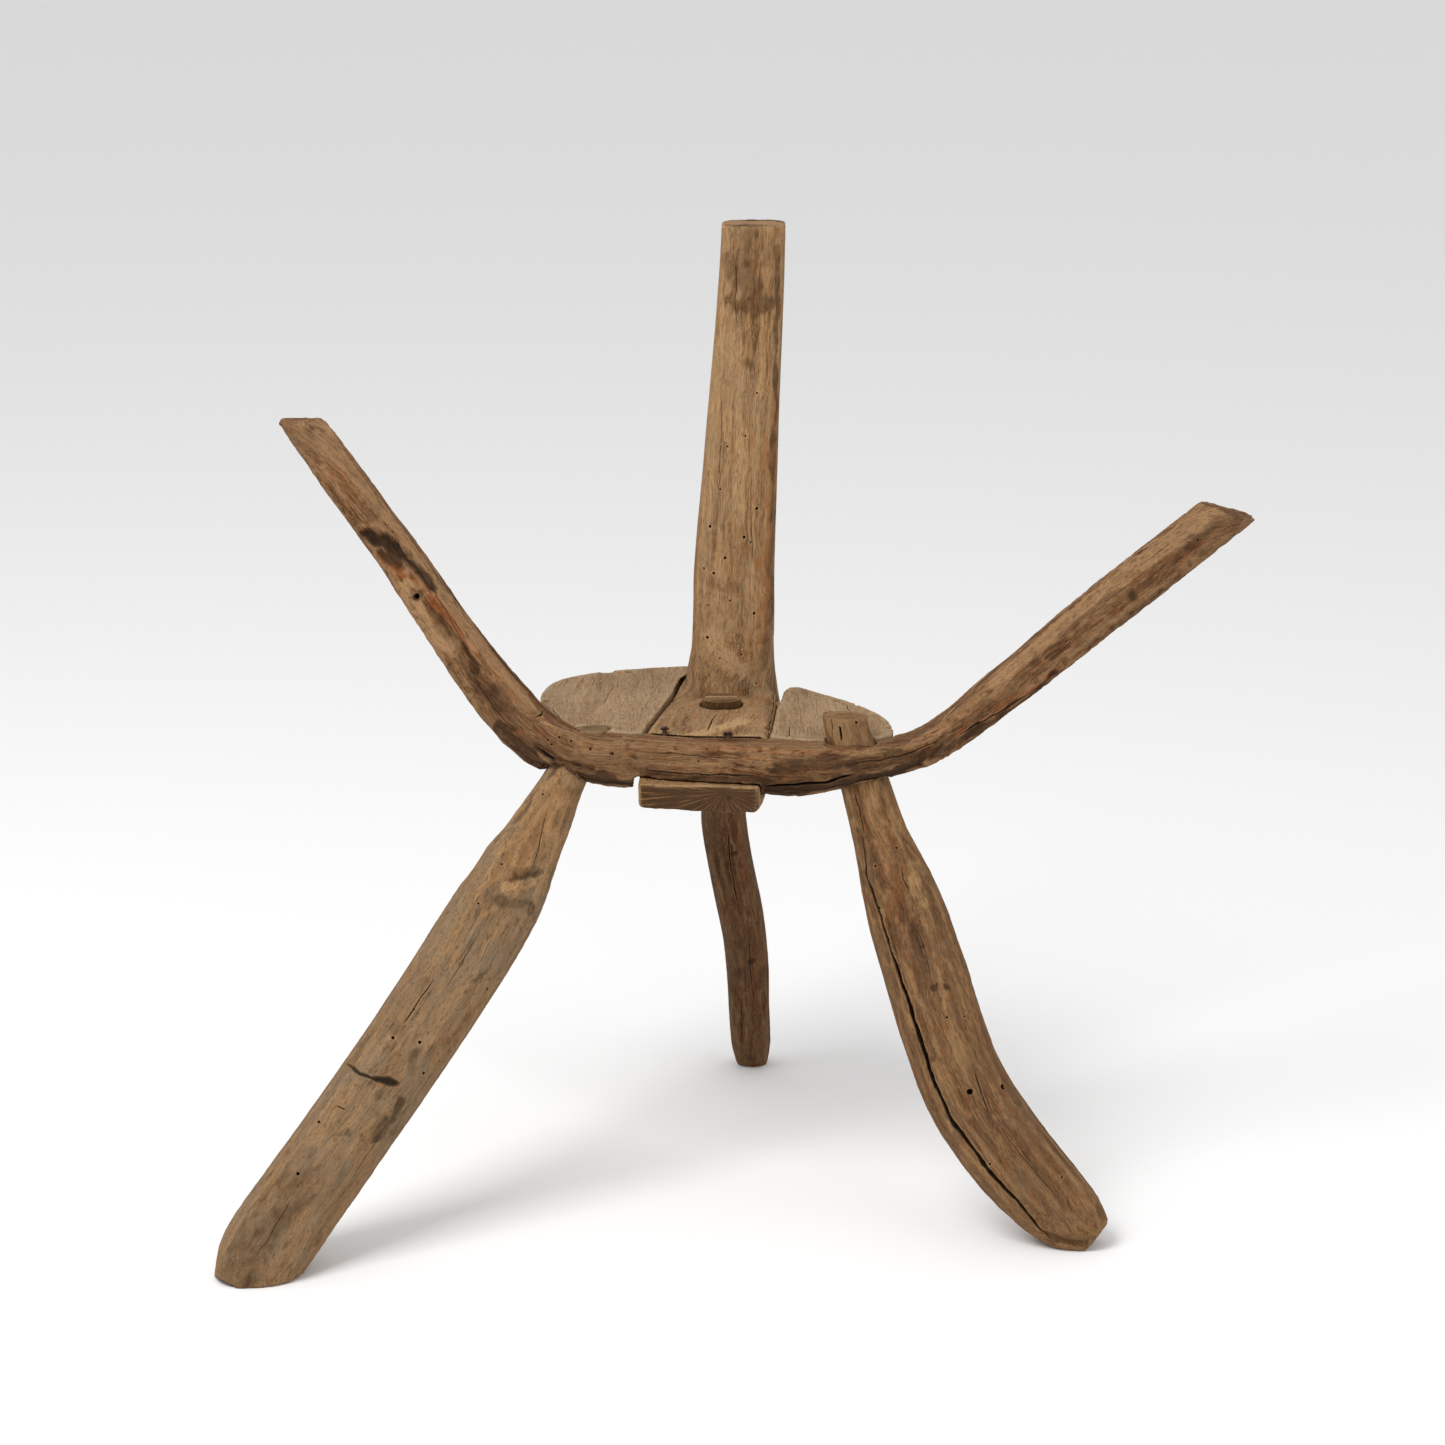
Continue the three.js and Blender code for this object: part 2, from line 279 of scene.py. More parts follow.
def work_on(piece, kind, elements, chosen, tool, **settings):
    """Picks some vertices or faces and works them with one of the mesh tools."""
    select_only(piece)
    bpy.ops.object.mode_set(mode="EDIT")
    bpy.ops.mesh.select_mode(type=kind)
    bpy.ops.mesh.select_all(action="DESELECT")
    bpy.ops.object.mode_set(mode="OBJECT")
    elements.foreach_set("select", chosen)
    bpy.ops.object.mode_set(mode="EDIT")
    tool(**settings)
    bpy.ops.object.mode_set(mode="OBJECT")


def refine(piece, bores, cracks, margin):
    """Splits the small faces that lie by a bore or a crack."""
    faces = piece.data.polygons
    middles = read(faces, "center")
    facing = read(faces, "normal")
    chosen = np.zeros(len(faces), bool)
    paths = [([spot], 2 * radius) for spots, radius, _ in bores for spot in spots]
    paths += [(path, width) for path, width, _ in cracks]
    for path, width in paths:
        near, gap, _ = reach_from(path, middles, facing, width + 4)
        chosen[near[gap < (width / 2 + margin) * MM]] = True
    work_on(piece, "FACE", faces, chosen, bpy.ops.mesh.subdivide, number_cuts=1)


def standing_out(piece, rounds):
    """How far points stand out from the skin averaged with its neighbours so many times."""
    points = points_of(piece)
    edges = np.empty(len(piece.data.edges) * 2, np.int64)
    piece.data.edges.foreach_get("vertices", edges)
    ends = edges.reshape(-1, 2)
    count = len(points)
    both = np.concatenate([ends[:, 0], ends[:, 1]])
    other = np.concatenate([ends[:, 1], ends[:, 0]])
    joined = np.bincount(both, minlength=count)
    soft = points
    for _ in range(rounds):
        means = [np.bincount(both, column[other], minlength=count) for column in soft.T]
        soft = np.stack(means, axis=1) / joined[:, None]
    return ((points - soft) * normals_of(piece)).sum(axis=1)


def store(piece, name, values):
    layer = piece.data.attributes.new(name, "FLOAT_VECTOR", "POINT")
    layer.data.foreach_set("vector", values.astype(np.float32).ravel())


def covered(points, normals, patches, edge):
    """How strongly patches cover the points. Each has its path, width and strength."""
    cover = np.zeros(len(points))
    for path, width, strength in patches:
        near, gap, _ = reach_from(path, points, normals, width, 2.5)
        share = np.clip(1.5 - gap / (width * MM / 2) * 1.5 + edge[near], 0, 1) * strength
        cover[near] = np.maximum(cover[near], share)
    return cover


def planed(piece, node, line, facing, flats):
    """Hews long flats on a limb and tells how far each point lies on one.

    A flat is where it starts and stops along the limb, the angle it faces, and how far out from
    the middle it lies at both ends.
    """
    points = points_of(piece)
    place, across, inward, _ = along_grain(points, line, facing)
    on_flat = np.zeros(len(points))
    for start, stop, angle, first_height, last_height in flats:
        turn = math.radians(angle)
        way_out = math.cos(turn) * across + math.sin(turn) * inward
        out = math.cos(turn) * place[:, 0] + math.sin(turn) * place[:, 1]
        along = place[:, 2] / MM
        kept = np.interp(along, (start, stop), (first_height, last_height))
        kept += 0.7 * unevenness(place * 60, 9)
        ends = np.clip(np.minimum(along - start, stop - along) / 30, 0, 1)
        excess = np.clip(out - kept * MM, 0, None) * ends
        points -= way_out * excess[:, None]
        on_flat = np.maximum(on_flat, np.clip(excess / (0.6 * MM), 0, 1))
    move_points(piece, points, node)
    return on_flat


def weather(
    piece,
    node,
    line,
    facing,
    bores=(),
    cracks=(),
    hollows=(),
    stains_and_shade=(),
    bare=(),
    reds=(),
    hewing=(),
    flats=(),
    swell=0.35,
    chipping=0.6,
    seed=1,
):
    """Works a rough piece: it is hewn and rubbed, swells along its grain, cracks, is bored by
    worms, and is marked with dark stains and with patches of bare pale wood and of red wood.
    Its hollows, cracks and bores get painted shade, some dark patches are painted shade, and
    the paleness of its flats is partly painted light.
    """
    for margin in (1.8, 0.9):
        refine(piece, bores, cracks, margin)
    on_flat = planed(piece, node, line, facing, flats)
    points = points_of(piece)
    normals = normals_of(piece)
    place, _, _, heading = along_grain(points, line, facing)
    endwise = np.abs((normals * heading).sum(axis=1))
    side = 1 - endwise

    # Tool strokes and nibbled arrises are cut off, and the rest swells and shrinks in ridges.
    cut = np.zeros(len(points))
    for strokes, depth, length, width, start, stop in hewing:
        zone = (place[:, 2] > start * MM) & (place[:, 2] < stop * MM) & (side > 0.5)
        strokes_cut = hew(points, normals, place, strokes, depth, length, width, seed, zone)
        cut = np.maximum(cut, strokes_cut)
    ridges = 0.4 * unevenness(place * (105, 105, 13), seed)
    ridges += 0.35 * unevenness(place * (300, 300, 26), seed + 1)
    lumps = 0.8 * unevenness(place * (30, 30, 24), seed + 2)
    arris = standing_out(piece, rounds=14) / (0.5 * MM)
    nibbles = 0.45 + unevenness(points * 190, seed + 3) + 0.5 * unevenness(points * 480, seed + 4)
    nibbled = np.clip(arris - 0.3, 0, 1) * np.clip(nibbles, 0, 2) * chipping * MM
    cut = np.maximum(cut, nibbled)
    swells = (ridges * side + lumps - 0.6) * swell * MM
    dips = sunken(points, normals, hollows)
    openings = opened(points, normals, bores, cracks)
    move_points(piece, points + normals * (swells - cut - dips - openings)[:, None], node)

    # What the material reads: the place in the grain, the rubbed arrises, the end grain and the
    # painted shade of hollows and cracks, and the ragged patches.
    rubbed_height, hollow_depth, open_depth, dip_depth = 0.45 * MM, 0.8 * MM, 1.6 * MM, 6 * MM
    bulge = standing_out(piece, rounds=10)
    worn = np.clip(bulge / rubbed_height, 0, 1) * (openings == 0)
    # Painted shade: sunken skin, cracks, bores and broad dents are darkened as if shadow lay in
    # them.
    hollow_shade = np.clip(-bulge / hollow_depth, 0, 1) * 0.7
    hollow_shade = np.maximum(hollow_shade, np.clip(openings / open_depth, 0, 1))
    hollow_shade = np.maximum(hollow_shade, np.clip(dips / dip_depth, 0, 0.4))
    end_grain = np.clip(3.6 * endwise - 2.3, 0, 1)
    edge = 0.5 * unevenness(place * (150, 150, 60), seed)
    edge += 0.4 * unevenness(place * (420, 420, 130), seed + 1)
    edge += 0.25 * unevenness(place * (900, 900, 260), seed + 2)
    # Some of these dark patches are painted shade, darkening undersides where the shadow lies.
    stained_and_shaded = covered(points, normals, stains_and_shade, edge)
    # The flats are paled too: partly their weathered grey, partly painted light on the upward
    # faces.
    bare_and_lit = np.maximum(covered(points, normals, bare, edge), 0.55 * on_flat)
    reddened = covered(points, normals, reds, edge)
    store(piece, "grain", place)
    store(piece, "wear_and_shade", np.stack([worn, hollow_shade, end_grain], axis=1))
    store(piece, "marks", np.stack([stained_and_shaded, bare_and_lit, reddened], axis=1))
    piece.data.shade_smooth()


def add_node(tree, kind, inputs, **settings):
    """Adds a node, sets it up, and joins or fills its inputs."""
    made = tree.nodes.new(kind)
    for name, value in settings.items():
        setattr(made, name, value)
    for key, value in inputs.items():
        if isinstance(value, bpy.types.NodeSocket):
            tree.links.new(value, made.inputs[key])
        else:
            made.inputs[key].default_value = value
    return made


def reckon(tree, operation, first, second=0.0):
    return add_node(tree, "ShaderNodeMath", {0: first, 1: second}, operation=operation).outputs[0]


def remap(tree, value, low, high, to_low=0.0, to_high=1.0):
    inputs = {"Value": value, "From Min": low, "From Max": high}
    inputs.update({"To Min": to_low, "To Max": to_high})
    return add_node(tree, "ShaderNodeMapRange", inputs).outputs[0]


def blend(tree, factor, first, second):
    inputs = {0: factor, 6: first, 7: second}
    return add_node(tree, "ShaderNodeMix", inputs, data_type="RGBA").outputs[2]


def noise(tree, vector, scale, detail=3.0, roughness=0.55):
    mapped = add_node(tree, "ShaderNodeMapping", {"Vector": vector, "Scale": scale})
    inputs = {"Vector": mapped.outputs[0], "Scale": 1.0, "Detail": detail, "Roughness": roughness}
    return add_node(tree, "ShaderNodeTexNoise", inputs).outputs[0]


def sum_of(tree, *parts):
    """The sum of sockets, each times its own weight."""
    total = None
    for socket, weight in parts:
        term = reckon(tree, "MULTIPLY", socket, weight)
        total = term if total is None else reckon(tree, "ADD", total, term)
    return total


def ragged(tree, patch, rough_edge):
    """A soft painted patch with its edge broken up by the grain and the dirt."""
    broken = remap(tree, reckon(tree, "ADD", patch, rough_edge), 0.15, 0.68)
    return reckon(tree, "MULTIPLY", broken, remap(tree, patch, 0.0, 0.55))


COLOUR_NAMES = ("Pale", "Body", "Deep", "Grey", "Red")


def weathered_grain_group():
    """Old hewn wood: fibres, growth bands, open pores, rays on end grain, stains, dirt, rubbed
    arrises, painted shade in hollows, cracks and some dark patches, and partly painted light on
    flats.
    """
    tree = bpy.data.node_groups.new("weathered_grain", "ShaderNodeTree")
    for name in ("Grain", "Wear_and_shade", "Marks", "Pith"):
        tree.interface.new_socket(name, in_out="INPUT", socket_type="NodeSocketVector")
    for name in COLOUR_NAMES:
        tree.interface.new_socket(name, in_out="INPUT", socket_type="NodeSocketColor")
    for name in ("Greying", "Streaks", "Grime", "End dirt"):
        tree.interface.new_socket(name, in_out="INPUT", socket_type="NodeSocketFloat")
    tree.interface.new_socket("Colour", in_out="OUTPUT", socket_type="NodeSocketColor")
    for name in ("Roughness", "Height"):
        tree.interface.new_socket(name, in_out="OUTPUT", socket_type="NodeSocketFloat")
    given = add_node(tree, "NodeGroupInput", {}).outputs
    grain = given["Grain"]
    # The second of these is painted shade in hollows, cracks and bores; the first is rubbed
    # arrises.
    worn, hollow_shade, end_grain = add_node(tree, "ShaderNodeSeparateXYZ", {0: given["Wear_and_shade"]}).outputs
    # The first marks channel holds the stains and the patches of painted shade.
    patches = add_node(tree, "ShaderNodeSeparateXYZ", {0: given["Marks"]})
    # The second marks channel is pale wood; on the flats it is partly painted light.
    stain_and_shade, pale_and_lit_patch, red_patch = patches.outputs

    # The fibres waver, so the grain is shifted sideways a little before it is read.
    waver = add_node(tree, "ShaderNodeTexNoise", {"Vector": grain, "Scale": 30.0, "Detail": 2.0})
    inputs = {0: waver.outputs["Color"], 1: (0.008, 0.008, 0.0)}
    shift = add_node(tree, "ShaderNodeVectorMath", inputs, operation="MULTIPLY").outputs[0]
    wavy = add_node(tree, "ShaderNodeVectorMath", {0: grain, 1: shift}, operation="ADD").outputs[0]

    broad = noise(tree, wavy, (50, 50, 5), 3.0)
    bands = noise(tree, wavy, (210, 210, 8), 4.0, 0.6)
    fibres = noise(tree, wavy, (760, 760, 24), 5.0, 0.7)
    threads = noise(tree, wavy, (2300, 2300, 70), 2.0, 0.6)
    checks = remap(tree, noise(tree, wavy, (900, 900, 15), 3.0, 0.55), 0.6, 0.69)
    pores = remap(tree, noise(tree, wavy, (2300, 2300, 90), 1.0, 0.5), 0.6, 0.74)
    mottle = noise(tree, grain, (34, 34, 18), 6.0, 0.66)
    grime = noise(tree, grain, (95, 95, 58), 7.0, 0.7)
    zones = noise(tree, grain, (15, 15, 9), 3.0, 0.5)
    rough_edge = sum_of(tree, (grime, 1.5), (fibres, 0.7), (bands, 0.5))
    rough_edge = reckon(tree, "SUBTRACT", rough_edge, 1.35)

    # Streaks run from dark through the body colour to pale.
    tone = sum_of(tree, (zones, 0.9), (broad, 0.6), (bands, 0.9), (fibres, 1.3), (threads, 1.0))
    tone = reckon(tree, "SUBTRACT", tone, 2.35)
    tone = reckon(tree, "ADD", reckon(tree, "MULTIPLY", tone, given["Streaks"]), 0.5)
    colour = blend(tree, remap(tree, tone, 0.0, 0.5), given["Deep"], given["Body"])
    colour = blend(tree, remap(tree, tone, 0.5, 1.0), colour, given["Pale"])
    greyed = reckon(tree, "MULTIPLY", remap(tree, mottle, 0.44, 0.58), given["Greying"])
    colour = blend(tree, greyed, colour, given["Grey"])

    # Red and pale wood show in ragged patches, and pale wood where the arrises are rubbed. On the
    # hewn flats the pale is partly painted light on the upward faces.
    broad_fleck = remap(tree, sum_of(tree, (grime, 1.0), (bands, 0.6)), 0.9, 1.02, 0.0, 0.5)
    small_fleck = remap(tree, noise(tree, wavy, (360, 360, 100), 2.0, 0.5), 0.57, 0.67, 0.0, 0.55)
    fleck = reckon(tree, "MAXIMUM", broad_fleck, small_fleck)
    streaked = remap(tree, sum_of(tree, (fibres, 0.6), (grime, 0.4)), 0.4, 0.56, 0.3, 0.95)
    reddened = reckon(tree, "MULTIPLY", ragged(tree, red_patch, rough_edge), streaked)
    colour = blend(tree, reckon(tree, "MAXIMUM", reddened, fleck), colour, given["Red"])
    bare_and_lit = ragged(tree, pale_and_lit_patch, rough_edge)
    rubbed = reckon(tree, "MULTIPLY", worn, remap(tree, grime, 0.4, 0.58, 0.1, 0.85))
    colour = blend(tree, reckon(tree, "MAXIMUM", bare_and_lit, rubbed), colour, given["Pale"])

    # On end grain, rays fan out from the pith and rings run round it.
    from_pith = add_node(
        tree, "ShaderNodeVectorMath", {0: grain, 1: given["Pith"]}, operation="SUBTRACT"
    ).outputs[0]
    side_x, side_y, _ = add_node(tree, "ShaderNodeSeparateXYZ", {0: from_pith}).outputs
    turn = reckon(tree, "ARCTAN2", side_x, side_y)
    flat = add_node(tree, "ShaderNodeCombineXYZ", {0: side_x, 1: side_y}).outputs[0]
    radius = add_node(tree, "ShaderNodeVectorMath", {0: flat}, operation="LENGTH").outputs["Value"]
    fan = add_node(tree, "ShaderNodeCombineXYZ", {0: turn, 1: radius}).outputs[0]
    rays = remap(tree, noise(tree, fan, (44, 26, 1), 2.0, 0.6), 0.54, 0.66, 0.0, 0.75)
    rings = noise(tree, fan, (0.5, 620, 1), 2.0, 0.5)
    cut_end = blend(tree, remap(tree, rings, 0.3, 0.7), given["Body"], given["Pale"])
    soot_and_shade = blend(tree, 0.85, given["Deep"], (0.011, 0.008, 0.006, 1))
    end_dark = blend(tree, 0.45, given["Deep"], soot_and_shade)
    cut_end = blend(tree, given["End dirt"], cut_end, end_dark)
    cut_end = blend(tree, rays, cut_end, given["Body"])
    colour = blend(tree, reckon(tree, "MULTIPLY", end_grain, 0.95), colour, cut_end)
    colour = blend(tree, reckon(tree, "MULTIPLY", bare_and_lit, 0.7), colour, given["Pale"])

    # Stains and grime are dark brown, and thinner on the raised fibres. Some patches are painted
    # shade instead, darkening the yoke's underside.
    speckled = reckon(tree, "MULTIPLY", remap(tree, grime, 0.56, 0.66), given["Grime"])
    clouded = reckon(tree, "ADD", remap(tree, zones, 0.44, 0.7, 0.0, 0.8), rough_edge)
    clouded = reckon(tree, "MULTIPLY", remap(tree, clouded, 0.3, 0.9), given["Grime"])
    specks = remap(tree, noise(tree, grain, (700, 700, 260), 3.0, 0.6), 0.6, 0.68, 0.0, 1.2)
    grimed = reckon(tree, "MAXIMUM", speckled, clouded)
    grimed = reckon(tree, "MAXIMUM", grimed, reckon(tree, "MULTIPLY", specks, given["Grime"]))
    stained_and_shaded = reckon(tree, "MAXIMUM", ragged(tree, stain_and_shade, rough_edge), grimed)
    stained_and_shaded = reckon(tree, "MULTIPLY", stained_and_shaded, remap(tree, fibres, 0.34, 0.62, 1.0, 0.72))
    colour = blend(tree, stained_and_shaded, colour, blend(tree, 0.2, given["Deep"], soot_and_shade))

    # Soot darkens the pores and fine checks, and the hollows, cracks and bores get painted shade in
    # the same near-black.
    dirt_and_shade = reckon(tree, "MULTIPLY", pores, 0.3)
    for layer, strength in ((checks, 0.4), (hollow_shade, 0.97)):
        dirt_and_shade = reckon(tree, "MAXIMUM", dirt_and_shade, reckon(tree, "MULTIPLY", layer, strength))
    colour = blend(tree, dirt_and_shade, colour, soot_and_shade)

    raised = (fibres, 0.6), (threads, 0.3), (bands, 0.4), (grime, 0.5)
    height = sum_of(tree, *raised, (pores, -0.4), (checks, -0.5))
    gloss = sum_of(tree, (fibres, 1.0), (worn, -0.3))
    roughness = remap(tree, gloss, 0.1, 0.8, 0.68, 0.92)
    add_node(tree, "NodeGroupOutput", {"Colour": colour, "Roughness": roughness, "Height": height})
    return tree


weathered_grain = weathered_grain_group()


def weathered_wood(
    name, colours, greying, streaks, grime, end_dirt=0.5, pith=(0, 0, 0), relief=0.7
):
    """A material of old unfinished wood in its own five colours: pale, body, deep, grey, red."""
    material = bpy.data.materials.new(name)
    material.use_nodes = True
    tree = material.node_tree
    tree.nodes.clear()
    inputs = {colour: (*value, 1) for colour, value in zip(COLOUR_NAMES, colours)}
    inputs.update({"Greying": greying, "Streaks": streaks, "Grime": grime})
    inputs.update({"End dirt": end_dirt, "Pith": pith})
    group = add_node(tree, "ShaderNodeGroup", {}, node_tree=weathered_grain)
    for key, value in inputs.items():
        group.inputs[key].default_value = value
    for socket in ("Grain", "Wear_and_shade", "Marks"):
        read = add_node(tree, "ShaderNodeAttribute", {}, attribute_name=socket.lower())
        tree.links.new(read.outputs["Vector"], group.inputs[socket])
    inputs = {"Height": group.outputs["Height"], "Strength": 0.9, "Distance": relief * MM}
    bump = add_node(tree, "ShaderNodeBump", inputs)
    shader = add_node(
        tree,
        "ShaderNodeBsdfPrincipled",
        {
            "Base Color": group.outputs["Colour"],
            "Roughness": group.outputs["Roughness"],
            "Normal": bump.outputs[0],
            "Specular IOR Level": 0.08,
        },
    )
    add_node(tree, "ShaderNodeOutputMaterial", {"Surface": shader.outputs[0]})
    return material


def fit(piece, material, node):
    """Gives a piece its finish and its place in the frame."""
    piece.data.materials.clear()
    piece.data.materials.append(material)
    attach(piece, "root")
    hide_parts(node)


def smooth_knee(piece):
    """Wears the inner corner between foot and post to a long fillet."""
    points = points_of(piece)
    chosen = np.ones(len(points), bool)
    for axis, low, high in ((Y, 48, 84), (Z, 366, 412)):
        chosen &= (points[:, axis] > low * MM) & (points[:, axis] < high * MM)
    smooth = bpy.ops.mesh.vertices_smooth
    work_on(piece, "VERT", piece.data.vertices, chosen, smooth, factor=0.5, repeat=90)


crook = rough_out("back_crook", "crook_of_bent_hardwood")
even_skin(crook, 1.5, 1)
smooth_knee(crook)
foot_line = middle_line(crook, Y, -104, 30, 8)
post_line = middle_line(crook, Z, 430, 728, 12)
knee = np.array([[-13, 52, 347], [-12, 78, 356], [-11, 94, 380], [-10, 98, 408]]) * MM
crook_line = eased(np.vstack([foot_line, knee, post_line]), 3)
crook_colours = (
    (0.42, 0.26, 0.13),
    (0.30, 0.168, 0.073),
    (0.085, 0.04, 0.017),
    (0.235, 0.165, 0.1),
    (0.25, 0.095, 0.028),
)
crook_wood = weathered_wood(
    "crook_wood",
    crook_colours,
    greying=0.35,
    streaks=1.25,
    grime=0.4,
    end_dirt=1.0,
    pith=(-0.008, 0.018, 0),
)
worm_bores = [
    (-27, 87, 499), (0, 84, 491), (-15, 81, 475), (-32, 83, 466), (-24, 80, 463), (8, 74, 432),
    (-29, 72, 413), (10, 88, 513),
]
fine_bores = [
    (5, 83, 487), (-11, 75, 442), (22, 84, 442), (-19, 68, 397), (10, 67, 377), (-19, 90, 528),
    (1, 97, 569), (10, 103, 602), (-13, 95, 561), (-28, 76, 438), (-2, 68, 400),
]
weather(
    crook,
    "back_crook",
    crook_line,
    (1, 0, 0),
    bores=[(worm_bores, 1.1, 4), (fine_bores, 0.7, 2.5)],
    cracks=[
        ([(-21, 2, 370), (-25, -20, 370), (-28, -50, 370)], 1.2, 3),
        ([(-2, 36, 370), (9, 39, 370), (20, 39, 369)], 0.9, 2),
        ([(-43, 87, 385), (-51, 89, 368)], 0.9, 2),
        ([(25, 85, 367), (22, 6, 367), (18, -52, 366)], 1.6, 4),
        ([(-6, 123, 712), (-7, 117, 681), (-6, 111, 650)], 0.7, 1.2),
        ([(6, 93, 543), (5, 87, 512), (7, 81, 473)], 0.6, 1),
        ([(-17, 103, 597), (-19, 96, 558), (-20, 89, 520)], 0.6, 1),
    ],
    hollows=[
        ([(1, 120, 702)], 11, 1),
        ([(4, 106, 624)], 10, 1),
        ([(19, -38, 368)], 9, 2),
        ([(-12, -105, 330)], 5, 0.8),
        ([(-25, 79, 456), (-7, 77, 450)], 14, 0.8),
    ],
    stains_and_shade=[
        ([(-13, 122, 702), (1, 119, 696), (18, 121, 702)], 24, 0.45),
        ([(1, 124, 723), (2, 117, 681)], 60, 0.5),
        ([(-13, 117, 673), (3, 114, 667), (22, 117, 672)], 22, 0.6),
        ([(1, 120, 702)], 8, 0.35),
        ([(4, 106, 624)], 8, 0.3),
        ([(26, 124, 711), (25, 107, 596), (21, 91, 503)], 10, 0.6),
        ([(24, 98, 518), (23, 90, 471), (21, 81, 433), (20, 76, 402), (21, 46, 369)], 17, 0.5),
        ([(-43, -23, 370)], 9, 0.45),
        ([(-53, 52, 369), (-62, 2, 369)], 12, 0.4),
        ([(-25, 79, 456), (-16, 77, 450)], 10, 0.35),
        ([(-6, 87, 511)], 9, 0.3),
        ([(20, 46, 369), (18, -55, 367)], 11, 0.5),
    ],
    reds=[
        ([(25, 107, 596), (21, 91, 503), (18, 80, 442), (19, 45, 369)], 20, 0.95),
        ([(-34, 93, 503), (-39, 85, 440), (-42, 84, 392)], 8, 0.6),
        ([(18, -34, 368)], 12, 0.8),
        ([(-7, 81, 473)], 26, 0.25),
    ],
    bare=[
        ([(-13, 141, 730), (1, 141, 730), (19, 141, 730)], 40, 0.9),
        ([(-7, 111, 650), (-5, 99, 581), (-3, 86, 504)], 22, 0.35),
        ([(-23, 70, 411), (-7, 67, 392)], 30, 0.6),
        ([(-42, -65, 370), (0, -20, 370)], 26, 0.6),
    ],
    hewing=[(90, 0.4, 70, 26, 0, 700)],
    chipping=0.3,
    seed=11,
)
fit(crook, crook_wood, "back_crook")

# ----------------------------------------
# The front yoke: one bent branch of darker hardwood that makes the left prong, the crossbar
# and the right prong. It is notched underneath over the crook's foot and bored for two legs.

